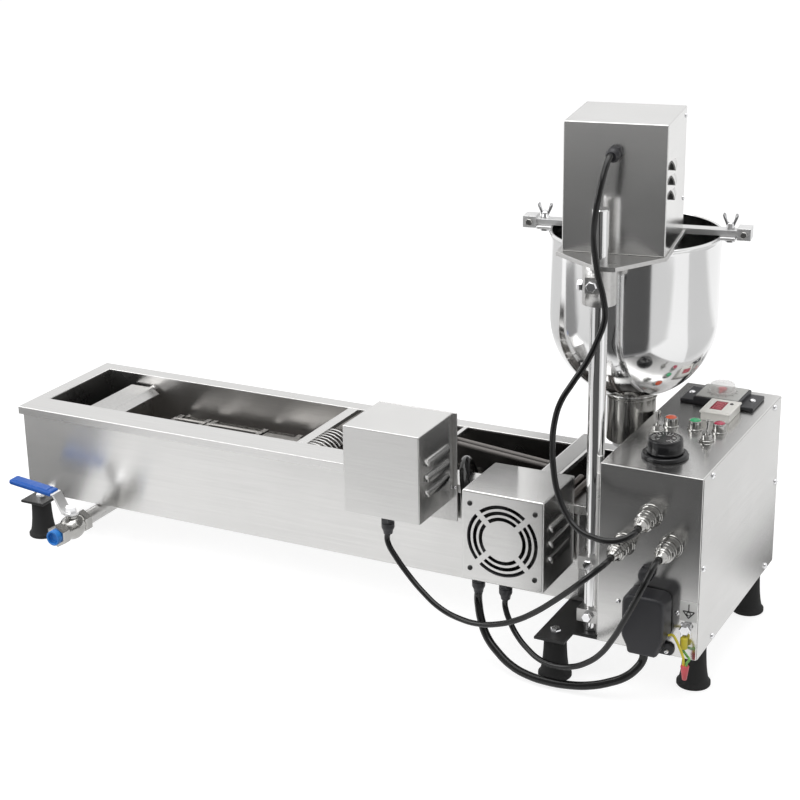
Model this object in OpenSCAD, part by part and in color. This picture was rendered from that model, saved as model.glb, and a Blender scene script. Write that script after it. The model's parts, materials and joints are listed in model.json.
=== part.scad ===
// Automatic ring doughnut fryer: an oil trough with a chain conveyor, a batter
// hopper on a swinging post, two boxes hung on the rim and a control box.
// The shapes below are drawn from the trough: x runs along it from its left
// end, y runs away from its near rim, z runs up from the floor.

/* [Trough] */
// Length of the trough over its rim
tank_l = 886; // [870:1:930]
// Width of the trough over its rim
tank_w = 208; // [196:1:230]
// Height of the trough from the rails to the top of its rim
tank_h = 128; // [120:1:150]
// Depth of the oil basin below the rim
basin_depth = 104; // [98:1:112]
// Thickness of the folded sheet
sheet = 1.5; // [1:0.1:2]
// Height of the folded lip round the rim
lip_h = 11; // [8:1:16]
// Overhang of the rim past the casing walls
rim_over = 4; // [3:0.5:8]
// Width of the near rim
near_ledge = 44; // [40:1:48]
// Width of the far rim
far_ledge = 22; // [18:1:26]
// Width of the left rim
left_ledge = 21; // [16:1:26]
// Width of the right rim
right_ledge = 8; // [8:0.5:12]
// Length of the discharge well at the left end
well_l = 59; // [50:1:62]
// Depth of the discharge well
well_depth = 84; // [70:1:95]
// Thickness of the divider between the well and the basin
well_strip = 12; // [9:1:16]
// Drop of the divider below the rim
divider_drop = 20; // [16:1:30]

/* [Base] */
// Height of the rubber feet
foot_h = 52; // [45:1:65]
// Diameter of a foot at the floor
foot_base_d = 40; // [34:1:46]
// Diameter of a foot at its top
foot_top_d = 27; // [20:1:32]
// Width of the flat rails under the trough
rail_w = 38; // [30:1:44]
// Thickness of the flat rails
rail_t = 4; // [3:0.5:6]
// Middle of the left rail
left_rail_x = 32; // [28:1:50]
// Distance of the right rail's middle from the right end of the trough
right_rail_inset = 45; // [41:1:61]
// Reach of the left rail in front of the trough
left_rail_reach = 28; // [24:1:40]
// Reach of the right rail in front of the trough
right_rail_reach = 102; // [96:1:110]
// Reach of the rails behind the trough
rail_back = 28; // [24:1:40]

/* [Conveyor] */
// Diameter of the conveyor shafts
shaft_d = 10; // [8:0.5:12]
// Height of the conveyor shafts over the basin floor
shaft_lift = 40; // [36:1:46]
// Middle of the left conveyor shaft
idler_x = 152; // [148:1:170]
// Distance of the driven conveyor shaft from the right end of the trough
drive_inset = 266; // [258:1:274]
// Tip radius of the sprockets
sprocket_r = 11; // [9:0.5:12]
// Thickness of the chain
chain_t = 4.5; // [3:0.5:6]
// Width of a chain strand
chain_w = 5; // [4:0.5:6]
// Distance of the chain strands from the basin walls
chain_inset = 14; // [13:1:18]
// Running clearance between a shaft and its bush
run_gap = 0.05; // [0.02:0.01:0.09]
// Height of the motor shaft over the rim
motor_shaft_lift = 26; // [22:1:34]

/* [Flippers] */
// Length of the discharge flipper over the well
flipper_l = 34; // [26:1:40]
// Length of the discharge flipper's sloping lip
flipper_lip = 15; // [10:1:20]
// Distance of the turning flipper's shaft from the driven shaft
turner_gap = 100; // [80:1:110]
// Length of the turning flipper
turner_l = 36; // [28:1:40]
// Height of the turning flipper's shaft below the rim
turner_drop = 34; // [30:1:38]
// Diameter of the flipper tubes
flipper_tube_d = 8; // [6:0.5:9]

/* [Bridges] */
// Distance of the flat bar's left edge from the driven shaft
bar_gap = 198; // [190:1:205]
// Width of the flat bar
bar_w = 15; // [10:1:20]
// Distance of the rounded bridge's left edge from the right end of the trough
bridge_inset = 130; // [126:1:141]
// Width of the rounded bridge
bridge_w = 28; // [22:1:32]
// Height of the rounded bridge over the rim
bridge_h = 8; // [6:0.5:12]

/* [Heater] */
// Diameter of the heater tube
heater_d = 8; // [6:0.5:9]
// Spacing of the heater runs
heater_pitch = 30; // [26:1:32]
// Height of the heater runs over the basin floor
heater_lift = 10; // [7:1:12]
// Distance of the heater box's left edge from the right end of the trough
heater_inset = 160; // [151:1:171]
// Width of the heater box
heater_w = 104; // [100:1:112]
// Depth of the heater box
heater_box_d = 95; // [85:1:105]
// Height of the heater box
heater_h = 114; // [104:1:124]
// Drop of the heater box below the rim
heater_drop = 76; // [66:1:86]
// Room beside the fan in the heater box
fan_room = 6; // [4:0.5:10]
// Distance of the fan screws from the edge of the fan
fan_edge = 4.75; // [4.25:0.25:6]

/* [Conveyor motor box] */
// Reach of the motor box to the left of its shaft
motor_left = 51; // [46:1:56]
// Width of the motor box
motor_w = 102; // [92:1:112]
// Depth of the motor box
motor_d = 95; // [88:1:105]
// Height of the motor box
motor_h = 112; // [104:1:122]
// Drop of the motor box below the rim
motor_drop = 19; // [14:1:24]
// Thickness of the hanger plate
hanger_t = 2.5; // [2:0.5:4]

/* [Control box] */
// Width of the control box
ctrl_w = 121; // [116:1:135]
// Depth of the control box
ctrl_d = 302; // [295:1:330]
// Height of the control box
ctrl_h = 223; // [205:1:240]
// Reach of the control box in front of the trough
ctrl_reach = 74; // [68:1:80]
// Gap between the trough and the control box
ctrl_gap = 3; // [2:0.5:6]
// Length of the cable plugs in front of the control box
plug_l = 42; // [38:1:46]

/* [Post and head] */
// Diameter of the post
post_d = 20; // [16:0.5:22]
// Length of the post
post_l = 506; // [480:1:540]
// Distance of the post in front of the trough
post_reach = 54; // [46:1:56]
// Swing of the head round the post in degrees
head_yaw = 9.3; // [4:0.1:10]
// Height of the head plate over the foot of the post
plate_lift = 442; // [420:1:450]
// Thickness of the head plate
plate_t = 5; // [4:0.5:8]
// Width of the head cover
head_w = 116; // [100:1:124]
// Depth of the head cover
head_d = 119; // [105:1:119]
// Height of the head cover
head_h = 147; // [135:1:160]
// Distance of the head cover behind the post
head_back = 30; // [28:1:34]
// Sideways offset of the head from the post
head_side = 8; // [4:1:10]

/* [Hopper] */
// Outer radius of the hopper
hopper_r = 100; // [85:1:104]
// Height of the straight hopper wall
hopper_wall_h = 105; // [95:1:115]
// Distance of the hopper axis behind the post
hopper_back = 168; // [168:1:172]
// Outer radius of the forming cylinder
former_r = 30; // [26:0.5:30]
// Wall of the forming cylinder
former_wall = 4; // [3:0.5:5]
// Length of the forming cylinder
former_l = 60; // [56:1:66]
// Diameter of the plunger rod
rod_d = 12; // [9:0.5:14]
// Throw of the crank
crank_r = 15; // [12:0.5:16]
// Length of the connecting rod between its pins
con_l = 55; // [52:1:60]

/* [Drain valve] */
// Distance of the drain pipe from the left end
drain_x = 120; // [112:1:130]
// Outer diameter of the drain pipe
pipe_d = 20; // [16:0.5:21]
// Length of the valve lever
lever_l = 95; // [85:1:115]
// Width of the valve lever
lever_w = 18; // [14:1:22]
// Height of the step in the valve lever
lever_rise = 24; // [16:1:30]
// Slope of the valve lever's grip in degrees
lever_slope = 6; // [2:0.5:9]

/* [Cords] */
// Diameter of the three motor cords
cord_d = 7; // [5:0.5:8]
// Diameter of the heater cable
cable_d = 10; // [8:0.5:11]
// Diameter of the earth wires
wire_d = 3; // [2:0.1:3.4]

/* [Hidden] */
$fn = 48;
fit = 0.3;

// Levels
rail_z = foot_h;
deck_z = foot_h + rail_t;
rim_z = deck_z + tank_h;
floor_z = rim_z - basin_depth;
shaft_z = floor_z + shaft_lift;

// Basin and well
basin_x0 = left_ledge + well_l + well_strip;
basin_x1 = tank_l - right_ledge;
basin_y0 = near_ledge;
basin_y1 = tank_w - far_ledge;
basin_mid = (basin_y0 + basin_y1) / 2;
well_x1 = left_ledge + well_l;

// Places along the trough
right_rail_x = tank_l - right_rail_inset;
drive_x = tank_l - drive_inset;
turner_x = drive_x - turner_gap;
bar_x = drive_x - bar_gap;
bridge_x = tank_l - bridge_inset;
heater_x = tank_l - heater_inset;
motor_x = drive_x - motor_left;

// Chain
chain_in_r = sprocket_r + 0.4;
chain_out_r = chain_in_r + chain_t;
chain_near = basin_y0 + chain_inset;
chain_far = basin_y1 - chain_inset - chain_w;
drive_chain_y = basin_y0 + 9;
motor_shaft_z = rim_z + motor_shaft_lift;

// Boxes on the rim
motor_z = rim_z - motor_drop;
motor_top = motor_z + motor_h;
heater_z = rim_z - heater_drop;
fan_x = heater_x + heater_w / 2;
fan_z = heater_z + heater_h / 2;
fan_side = min(heater_w, heater_h) - 2 * fan_room;
fan_pitch = fan_side - 2 * fan_edge;
fan_depth = 25.5;
fan_front = -heater_box_d + sheet;
gearmotor_l = 76;
gearmotor_side = 60;
gland_r = 9;
gland_l = 22;
motor_gland = [motor_x + 54, -motor_d + 10];
fan_gland = [heater_x + 51, -heater_box_d + 13];
cable_gland = [heater_x + 14, -heater_box_d + 17];

// Control box
ctrl_x = tank_l + ctrl_gap;
ctrl_y = -ctrl_reach;
ctrl_top = foot_h + ctrl_h;
ctrl_x1 = ctrl_x + ctrl_w;
ctrl_y1 = ctrl_y + ctrl_d;
ctrl_foot_inset = 15;
knob_at = [ctrl_x + 59, ctrl_y + 50];
toggle_at = [[ctrl_x + 26, ctrl_y + 116], [ctrl_x + 88, ctrl_y + 110]];
lamp_at = [for (i = [0 : 2]) [ctrl_x + 33 + 29 * i, ctrl_y + 145 + 2 * i]];
counter_at = [ctrl_x + 58, ctrl_y + 178];
timer_at = [ctrl_x + 61, ctrl_y + 254];
timer_top = 12;
dome_at = [timer_at[0], timer_at[1], ctrl_top + timer_top];
plug_at = [[ctrl_x + 62, foot_h + 170], [ctrl_x + 31, foot_h + 129], [ctrl_x + 87, foot_h + 137]];
socket_l = 12;
socket_r = 12;
fuse_at = [ctrl_x + 60, foot_h + 99];
cover_x0 = ctrl_x + 41;
cover_x1 = cover_x0 + 50;
cover_z0 = foot_h + 10;
cover_z1 = cover_z0 + 72;
cover_d = 32;
cover_t = 1;
screw_h = 1.5;
earth_at = [ctrl_x + 108, foot_h + 39];

// Post and head
bracket_t = 3;
post_x = ctrl_x - bracket_t - post_d / 2;
post_y = -post_reach;
plate_z = deck_z + plate_lift;
head_z = plate_z + plate_t;
head_x0 = head_side - head_w / 2;
head_x1 = head_side + head_w / 2;
head_y1 = head_back + head_d;
head_gland_z = head_z + 114;
collar_h = 43;
collar_r = post_d / 2 + 9;

// Hopper and plunger
bar_t = 7;
yoke_w = rod_d + 4;
yoke_y = hopper_back - yoke_w / 2;
guide_h = 2;
hopper_rim_z = plate_z - fit;
bar_top = hopper_rim_z + bar_t;
bowl_z = hopper_rim_z - hopper_wall_h;
neck_in_r = former_r - former_wall;
neck_drop = 0.5;
neck_z = bowl_z - sqrt(hopper_r * hopper_r - neck_in_r * neck_in_r) - neck_drop;
former_z = neck_z - former_l;
ear_x = hopper_r + 10;
ear_l = 22;
bar_end_l = 16;
ear_w = 28;
ear_t = 4;
bar_half = hopper_r + 35;
clevis_drop = 13;
pin_low_z = bar_top + guide_h + fit + clevis_drop;
crank_z = pin_low_z + con_l + crank_r;
crank_disc_y = head_y1 + 2;
crank_disc_t = 6;
con_t = 8;
con_y = hopper_back - con_t / 2;
crank_pin_d = 10;
con_pin_d = 8;

// Drain valve
pipe_z = deck_z - pipe_d / 2 - 1;
pipe_rise_y = basin_y0 + 16;
valve_y = -54;
ball_r = 11;
stem_d = 8;
lever_z = pipe_z + 20;
outlet_y = valve_y - 36;
inlet_y = valve_y + 28;
lever_t = 3;
lever_flat = 10;
lever_step = 13;
lever_run = (lever_l - lever_flat - lever_step) / cos(lever_slope);
grip_end = 1;
grip_under = 2.5;
grip_l = lever_run - 2;

// The floor point under the middle of the whole machine is the origin.
low_x = min(0, left_rail_x - max(rail_w, foot_base_d) / 2);
high_x = ctrl_x1 + max(cover_t + screw_h, foot_base_d / 2 - ctrl_foot_inset);
low_y = -right_rail_reach;
high_y = max(tank_w + rail_back, ctrl_y1);
origin_x = (low_x + high_x) / 2;
origin_y = (low_y + high_y) / 2;

module in_frame() {
    translate([-origin_x, -origin_y, 0]) children();
}

// The head, the hopper and their drive turn together about the post.
module in_head() {
    in_frame() translate([post_x, post_y, 0]) rotate(head_yaw) children();
}

function head_point(p) = [
    post_x + p[0] * cos(head_yaw) - p[1] * sin(head_yaw),
    post_y + p[0] * sin(head_yaw) + p[1] * cos(head_yaw),
    p[2]
];

// Block between two opposite corners
module block(low, high) {
    translate(low) cube(high - low);
}

// Round bars along each axis
module bar_x_way(d, l) {
    rotate([0, 90, 0]) cylinder(d = d, h = l);
}

module bar_y_way(d, l) {
    rotate([-90, 0, 0]) cylinder(d = d, h = l);
}

module pan_screw(d, h) {
    cylinder(d1 = d, d2 = d * 0.75, h = h);
}

module hex_bolt(d, h) {
    cylinder(d = d, h = h, $fn = 6);
}

// Smooth curve through the hand-chosen points of a route
function curve_at(a, b, c, d, t) =
    0.5 * (2 * b + (c - a) * t + (2 * a - 5 * b + 4 * c - d) * t * t + (3 * b - a - 3 * c + d) * t * t * t);

function with_ends(p) = concat([2 * p[0] - p[1]], p, [2 * p[len(p) - 1] - p[len(p) - 2]]);

function curve(p, steps) =
    let (q = with_ends(p))
    concat(
        [for (i = [1 : len(q) - 3]) for (s = [0 : steps - 1])
            curve_at(q[i - 1], q[i], q[i + 1], q[i + 2], s / steps)],
        [p[len(p) - 1]]
    );

function unit(v) = v / norm(v);

// The two end rings stand square to the first and last stretch of the route.
function tangent_at(p, i, ends) =
    i == 0 ? ends[0] : i == len(p) - 1 ? ends[1] : unit(p[i + 1] - p[i - 1]);

// Each ring's first direction is the one before it, squared to the new tangent.
function carried(p, i, before, ends) =
    let (t = tangent_at(p, i, ends), side = unit(before - (before * t) * t))
    i == len(p) - 1 ? [side] : concat([side], carried(p, i + 1, side, ends));

function ring_points(p, r, sides, start, ends) =
    let (side = carried(p, 0, start, ends))
    [for (i = [0 : len(p) - 1]) for (k = [0 : sides - 1])
        let (t = tangent_at(p, i, ends), a = 360 * k / sides)
        p[i] + r * (cos(a) * side[i] + sin(a) * cross(t, side[i]))];

function tube_faces(rings, sides) =
    let (last = (rings - 1) * sides)
    concat(
        [for (k = [1 : sides - 2]) [0, k, k + 1]],
        [for (k = [1 : sides - 2]) [last, last + k + 1, last + k]],
        [for (i = [0 : rings - 2]) for (k = [0 : sides - 1])
            [i * sides + k, (i + 1) * sides + (k + 1) % sides, i * sides + (k + 1) % sides]],
        [for (i = [0 : rings - 2]) for (k = [0 : sides - 1])
            [i * sides + k, (i + 1) * sides + k, (i + 1) * sides + (k + 1) % sides]]
    );

// A route keeps its hand-chosen shape while its two ends follow their fittings.
function fitted(hand, first, last) =
    let (n = len(hand) - 1)
    [for (i = [0 : n]) hand[i] + (first - hand[0]) * (1 - i / n) + (last - hand[n]) * (i / n)];

module swept(route, d, sides, steps, start) {
    path = curve(route, steps);
    n = len(route) - 1;
    ends = [unit(route[1] - route[0]), unit(route[n] - route[n - 1])];
    polyhedron(ring_points(path, d / 2, sides, start, ends), tube_faces(len(path), sides), convexity = 6);
}

// Routes of the cords, with their ends on the glands and plugs
plug_end_y = ctrl_y - plug_l;
plug_end = [for (p = plug_at) [p[0], plug_end_y, p[1]]];
head_gland_end = head_point([head_side, head_back - gland_l, head_gland_z]);
head_route = fitted([
    [883, -45, 617], [885, -59, 617], [884, -80, 588], [881, -88, 540], [889, -91, 495], [898, -93, 452],
    [880, -99, 400], [853, -106, 352], [847, -113, 305], [858, -122, 250], [888, -136, 218],
    [930, -143, 214], [951, -132, 222], [951, -116, 222]
], head_gland_end, plug_end[0]);
motor_gland_end = [motor_gland[0], motor_gland[1], motor_z - gland_l];
conveyor_route = fitted([
    [623, -85, 143], [623, -85, 129], [652, -92, 98], [702, -105, 68], [758, -116, 64], [812, -127, 86],
    [860, -138, 124], [900, -145, 162], [920, -133, 181], [920, -116, 181]
], motor_gland_end, plug_end[1]);
fan_gland_end = [fan_gland[0], fan_gland[1], heater_z - gland_l];
fan_route = fitted([
    [777, -82, 86], [777, -82, 73], [796, -93, 48], [834, -110, 31], [876, -119, 36], [915, -130, 66],
    [946, -142, 118], [969, -145, 168], [976, -132, 189], [976, -116, 189]
], fan_gland_end, plug_end[2]);
cable_gland_end = [cable_gland[0], cable_gland[1], heater_z - gland_l];
cable_end = [cover_x0 + 22, ctrl_y - cover_d / 2, cover_z0];
cable_route = fitted([
    [740, -78, 86], [740, -78, 69], [756, -90, 36], [797, -107, 13], [845, -115, 8],
    [896, -112, 13], [936, -100, 28], [952, -90, 48], [952, -90, 62]
], cable_gland_end, cable_end);
cap_at = [ctrl_x + 114, ctrl_y - 18, foot_h];
wire_side = wire_d / 2 + 0.2;
link_route = fitted([
    [980, -86, 84], [987, -86, 84], [999, -91, 66], [1001, -92, 58], [1001, -92, 52]
], [cover_x1, ctrl_y - 12, cover_z0 + 22], cap_at + [-wire_side, 0, 0]);
crimp_end = [earth_at[0], ctrl_y - 6, earth_at[1] - 22];
earth_route = fitted([
    [997, -80, 69], [997, -80, 65], [1003, -84, 61.5], [1008, -92, 62.5], [1005.6, -92.4, 57.5],
    [1005, -92, 54.6], [1005, -92, 52]
], crimp_end, cap_at + [wire_side, 0, 0]);
sleeve_d = 13;
sleeve_route = fitted([
    [666, 66, 174], [671, 39, 200], [680, 12, 206], [690, -9, 195], [698, -20, 171], [704, -27, 149],
    [714, -30, 134], [726, -30, 134]
], [heater_x - 60, near_ledge + 22, rim_z - 10], [heater_x, -30, heater_z + 26]);

// Named parts

// Trough

drain_bore = pipe_d / 2 - 2.5;

module tank_casing() {
    color("silver") in_frame() difference() {
        block([rim_over, rim_over, deck_z], [tank_l - rim_over, tank_w - rim_over, rim_z - sheet]);
        block(
            [rim_over + sheet, rim_over + sheet, deck_z + sheet],
            [tank_l - rim_over - sheet, tank_w - rim_over - sheet, rim_z]
        );
        translate([drain_x, pipe_rise_y, deck_z - 1]) cylinder(d = pipe_d + 1, h = sheet + 2);
    }
}

bush_l = 6;
bush_wall = 4;
flipper_x = basin_x0 + 6;
divider_z = rim_z - divider_drop;
flipper_z = divider_z;
flipper_pin_d = 6;
flipper_bush_wall = 2.5;
flipper_t = 2;
flipper_fold = 30;
turner_z = rim_z - turner_drop;
flipper_y0 = basin_y0 + bush_l + fit;
flipper_y1 = basin_y1 - bush_l - fit;

module bush(x, z, y, d, wall) {
    translate([x, y, z]) bar_y_way(d + 2 * wall, bush_l);
}

module bush_bore(x, z, y, d) {
    translate([x, y, z]) bar_y_way(d + 2 * run_gap, bush_l);
}

// Space of one stretch of the trough, grown by a wall and reaching over the rim
module pan(x0, x1, bottom, wall, over) {
    block([x0 - wall, basin_y0 - wall, bottom - wall], [x1 + wall, basin_y1 + wall, rim_z + over]);
}

module oil_tank() {
    color("silver") in_frame() difference() {
        union() {
            difference() {
                union() {
                    difference() {
                        block([0, 0, rim_z - lip_h], [tank_l, tank_w, rim_z]);
                        block(
                            [sheet, sheet, rim_z - lip_h - 1],
                            [tank_l - sheet, tank_w - sheet, rim_z - sheet]
                        );
                    }
                    pan(left_ledge, well_x1, rim_z - well_depth, sheet, 0);
                    pan(basin_x0, basin_x1, floor_z, sheet, 0);
                    pan(well_x1, basin_x0, divider_z, sheet, 0);
                }
                pan(left_ledge, well_x1, rim_z - well_depth, 0, 1);
                pan(basin_x0, basin_x1, floor_z, 0, 1);
                pan(left_ledge, basin_x1, divider_z, 0, 1);
            }
            for (y = [basin_y0, basin_y1 - bush_l]) {
                bush(idler_x, shaft_z, y, shaft_d, bush_wall);
                bush(turner_x, turner_z, y, flipper_tube_d, bush_wall);
                bush(flipper_x, flipper_z, y, flipper_pin_d, flipper_bush_wall);
            }
            bush(drive_x, shaft_z, basin_y1 - bush_l, shaft_d, bush_wall);
        }
        for (y = [basin_y0, basin_y1 - bush_l]) {
            bush_bore(idler_x, shaft_z, y, shaft_d);
            bush_bore(turner_x, turner_z, y, flipper_tube_d);
            bush_bore(flipper_x, flipper_z, y, flipper_pin_d);
        }
        bush_bore(drive_x, shaft_z, basin_y1 - bush_l, shaft_d);
        translate([drain_x, pipe_rise_y, floor_z - sheet - 1]) cylinder(r = drain_bore, h = sheet + 2);
    }
}

lip_reach = flipper_lip * cos(flipper_fold);
lip_fall = flipper_lip * sin(flipper_fold);

module discharge_flipper() {
    color("silver") in_frame() translate([flipper_x, 0, flipper_z]) union() {
        translate([0, basin_y0 + 0.5, 0]) bar_y_way(flipper_pin_d, basin_y1 - basin_y0 - 1);
        translate([0, flipper_y0, 0]) bar_y_way(flipper_tube_d, flipper_y1 - flipper_y0);
        translate([0, flipper_y1, flipper_tube_d / 2 - flipper_t])
            rotate([90, 0, 0]) linear_extrude(flipper_y1 - flipper_y0) polygon([
                [-flipper_l, 0],
                [0, 0],
                [lip_reach, -lip_fall],
                [lip_reach, flipper_t - lip_fall],
                [0, flipper_t],
                [-flipper_l, flipper_t]
            ]);
    }
}

module turner_flipper() {
    color("silver") in_frame() translate([turner_x, 0, turner_z]) union() {
        translate([0, basin_y0 + 0.5, 0]) bar_y_way(flipper_tube_d, basin_y1 - basin_y0 - 1);
        difference() {
            block([0, chain_near + 14, -1], [turner_l, chain_far - 9, 1]);
            for (i = [0 : 4]) {
                translate([12, chain_near + 28 + 16 * i, -2]) cube([turner_l, 6, 4]);
            }
        }
    }
}

rod_x0 = drive_x - 20;
rod_rise = 14;
rod_angle = atan2(rod_rise, bridge_x + 1 - rod_x0);

module tank_bridges() {
    color("gray") in_frame() union() {
        block([bar_x, basin_y0, rim_z - 6], [bar_x + bar_w, basin_y1, rim_z]);
        for (i = [0 : 7]) {
            translate([bar_x + bar_w - 1, basin_y0 + 6 + 8 * i, rim_z - 6]) cube([29, 3, 3]);
        }
        translate([bridge_x, tank_w, rim_z]) rotate([90, 0, 0]) linear_extrude(tank_w) union() {
            square([bridge_w, bridge_h / 2]);
            translate([bridge_h / 2, 0]) square([bridge_w - bridge_h, bridge_h]);
            translate([bridge_h / 2, bridge_h / 2]) circle(d = bridge_h);
            translate([bridge_w - bridge_h / 2, bridge_h / 2]) circle(d = bridge_h);
        }
        block([bridge_x, basin_mid + 13, rim_z - 24], [bridge_x + 3, basin_mid + 45, rim_z + 1]);
        block([rod_x0 - 3, basin_mid + 15, rim_z - 7], [rod_x0 + 3, basin_y1, rim_z]);
        for (y = [basin_mid + 23, basin_mid + 35]) {
            translate([rod_x0, y, rim_z - 4]) rotate([0, 90 + rod_angle, 0])
                cylinder(d = 6, h = (bridge_x + 1 - rod_x0) / cos(rod_angle));
        }
    }
}

// Conveyor

sprocket_w = 3;
tooth_count = 10;

module sprocket() {
    difference() {
        bar_y_way(2 * sprocket_r, sprocket_w);
        for (i = [0 : tooth_count - 1]) {
            rotate([0, 360 * i / tooth_count, 0]) translate([sprocket_r + 0.8, -1, 0])
                bar_y_way(4.4, sprocket_w + 2);
        }
    }
}

module conveyor_shaft() {
    translate([0, basin_y0 + 0.5, 0]) bar_y_way(shaft_d, basin_y1 - basin_y0 - 1);
    translate([0, chain_near + 1, 0]) sprocket();
    translate([0, chain_far + 1, 0]) sprocket();
}

module drive_shaft() {
    color("gray") in_frame() translate([drive_x, 0, shaft_z]) union() {
        conveyor_shaft();
        translate([0, drive_chain_y, 0]) sprocket();
    }
}

module idler_shaft() {
    color("gray") in_frame() translate([idler_x, 0, shaft_z]) conveyor_shaft();
}

module motor_shaft() {
    color("gray") in_frame() translate([drive_x, 0, motor_shaft_z]) union() {
        translate([0, -40, 0]) bar_y_way(shaft_d, drive_chain_y + sprocket_w + 40);
        translate([0, drive_chain_y, 0]) sprocket();
    }
}

// Loop of chain round two equal sprockets, in its own plane
module chain_loop(l) {
    difference() {
        union() {
            translate([0, -chain_out_r]) square([l, 2 * chain_out_r]);
            circle(r = chain_out_r);
            translate([l, 0]) circle(r = chain_out_r);
        }
        translate([0, -chain_in_r]) square([l, 2 * chain_in_r]);
        circle(r = chain_in_r);
        translate([l, 0]) circle(r = chain_in_r);
    }
}

rack_z = shaft_z + chain_out_r;
rack_t = 3;
push_pitch = 100;
rack_y0 = chain_near + 14;
rack_y1 = chain_far - 9;

module rack_tab(x) {
    block([x - 4, chain_near, rack_z], [x + 4, chain_far + chain_w, rack_z + rack_t]);
}

module rack_frame(x0, x1) {
    difference() {
        block([x0, rack_y0, rack_z], [x1, rack_y1, rack_z + rack_t]);
        block([x0 + 7, rack_y0 + 7, rack_z - 1], [x1 - 7, rack_y1 - 7, rack_z + rack_t + 1]);
    }
    rack_tab(x0 + 4);
    rack_tab(x1 - 4);
}

module conveyor_chain() {
    color("dimgray") in_frame() union() {
        for (y = [chain_near, chain_far]) {
            translate([idler_x, y + chain_w, shaft_z]) rotate([90, 0, 0])
                linear_extrude(chain_w) chain_loop(drive_x - idler_x);
        }
        translate([drive_x, drive_chain_y + sprocket_w + 0.5, shaft_z]) rotate([90, 0, 0])
            linear_extrude(sprocket_w + 1) rotate(90) chain_loop(motor_shaft_z - shaft_z);
        rack_frame(idler_x, idler_x + 54);
        rack_frame(idler_x + 57, idler_x + 148);
        block([idler_x + 153, rack_y0, rack_z], [idler_x + 248, rack_y1, rack_z + rack_t]);
        rack_tab(idler_x + 200);
        for (x = [idler_x + 70 : push_pitch : drive_x - 20]) {
            translate([x, chain_near, shaft_z - chain_out_r - 8])
                cube([2, chain_far + chain_w - chain_near, 8.2]);
        }
    }
}

// Heater

heater_y = [for (i = [0 : 3]) basin_mid + heater_pitch * (i - 1.5)];
heater_run_z = floor_z + heater_lift;
heater_over_z = rim_z + heater_d / 2 + 2;
heater_left_x = basin_x0 + 60;
heater_right_x = heater_x + heater_w - 45;
riser_x = [heater_x + heater_w - 20, heater_x + heater_w - 8];

module heater_bend(x, y, turn) {
    translate([x, y, heater_run_z]) rotate(turn) rotate_extrude(angle = 180)
        translate([heater_pitch / 2, 0]) circle(d = heater_d);
}

module heater_riser(x, y) {
    translate([x, y, heater_run_z]) sphere(d = heater_d);
    translate([x, y, heater_run_z]) cylinder(d = heater_d, h = heater_over_z - heater_run_z);
    translate([x, y, heater_over_z]) sphere(d = heater_d);
    translate([x, 0, heater_over_z]) bar_y_way(heater_d, y);
}

module heater_tubes() {
    color("dimgray") in_frame() union() {
        for (i = [1, 2]) {
            translate([heater_left_x, heater_y[i], heater_run_z])
                bar_x_way(heater_d, heater_right_x - heater_left_x);
        }
        translate([heater_left_x, heater_y[0], heater_run_z])
            bar_x_way(heater_d, riser_x[0] - heater_left_x);
        translate([heater_left_x, heater_y[3], heater_run_z])
            bar_x_way(heater_d, riser_x[1] - heater_left_x);
        heater_bend(heater_left_x, (heater_y[0] + heater_y[1]) / 2, 90);
        heater_bend(heater_left_x, (heater_y[2] + heater_y[3]) / 2, 90);
        heater_bend(heater_right_x, basin_mid, -90);
        heater_riser(riser_x[0], heater_y[0]);
        heater_riser(riser_x[1], heater_y[3]);
        for (x = [heater_left_x + 130, heater_right_x - 150]) {
            block([x, heater_y[0] - 8, floor_z], [x + 4, heater_y[3] + 8, heater_run_z - heater_d / 4]);
        }
    }
}

// Boxes on the rim

module louvre_cut(x, y0, y1, z) {
    block([x - 2 * sheet, y0, z], [x + 1, y1, z + 4]);
}

// Bent strip that leans out over a louvre's slot
module louvre_hood(x, y0, y1, z) {
    translate([x, y1, z]) rotate([90, 0, 0]) linear_extrude(y1 - y0) polygon([
        [-0.8, 5], [-0.8, 7.5], [0.6, 7.5], [3.2, 0.6], [3.2, 0], [2.4, 0], [2.2, 0.5], [0.2, 5]
    ]);
}

module motor_cover() {
    color("silver") in_frame() union() {
        difference() {
            block([motor_x, -motor_d, motor_z], [motor_x + motor_w, -hanger_t, motor_top]);
            block(
                [motor_x + sheet, -motor_d + sheet, motor_z + sheet],
                [motor_x + motor_w - sheet, 0, motor_top - sheet]
            );
            for (i = [0 : 2]) {
                louvre_cut(motor_x + motor_w, -motor_d + 18, -18, motor_z + 30 + 19.5 * i);
            }
        }
        for (i = [0 : 2]) {
            louvre_hood(motor_x + motor_w, -motor_d + 18, -18, motor_z + 30 + 19.5 * i);
        }
    }
}

saddle_half = 31;
hanger_over = 5;

module motor_hanger() {
    color("silver") in_frame() difference() {
        union() {
            block([motor_x, -hanger_t, rim_z - 49], [motor_x + motor_w + hanger_over, 0, motor_top]);
            block(
                [drive_x - saddle_half, -hanger_t, rim_z],
                [drive_x + saddle_half, near_ledge + hanger_t, rim_z + hanger_t]
            );
            block(
                [drive_x - saddle_half, near_ledge, shaft_z - 14],
                [drive_x + saddle_half, near_ledge + hanger_t, rim_z + hanger_t]
            );
            translate([drive_x, near_ledge, shaft_z]) bar_y_way(shaft_d + 2 * bush_wall, 8);
            translate([drive_x, -hanger_t, motor_shaft_z])
                bar_y_way(shaft_d + 2 * bush_wall, bush_l + hanger_t);
        }
        translate([drive_x, near_ledge - 1, shaft_z]) bar_y_way(shaft_d + 2 * run_gap, 10);
        translate([drive_x, -hanger_t - 1, motor_shaft_z])
            bar_y_way(shaft_d + 2 * run_gap, bush_l + hanger_t + 2);
    }
}

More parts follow.
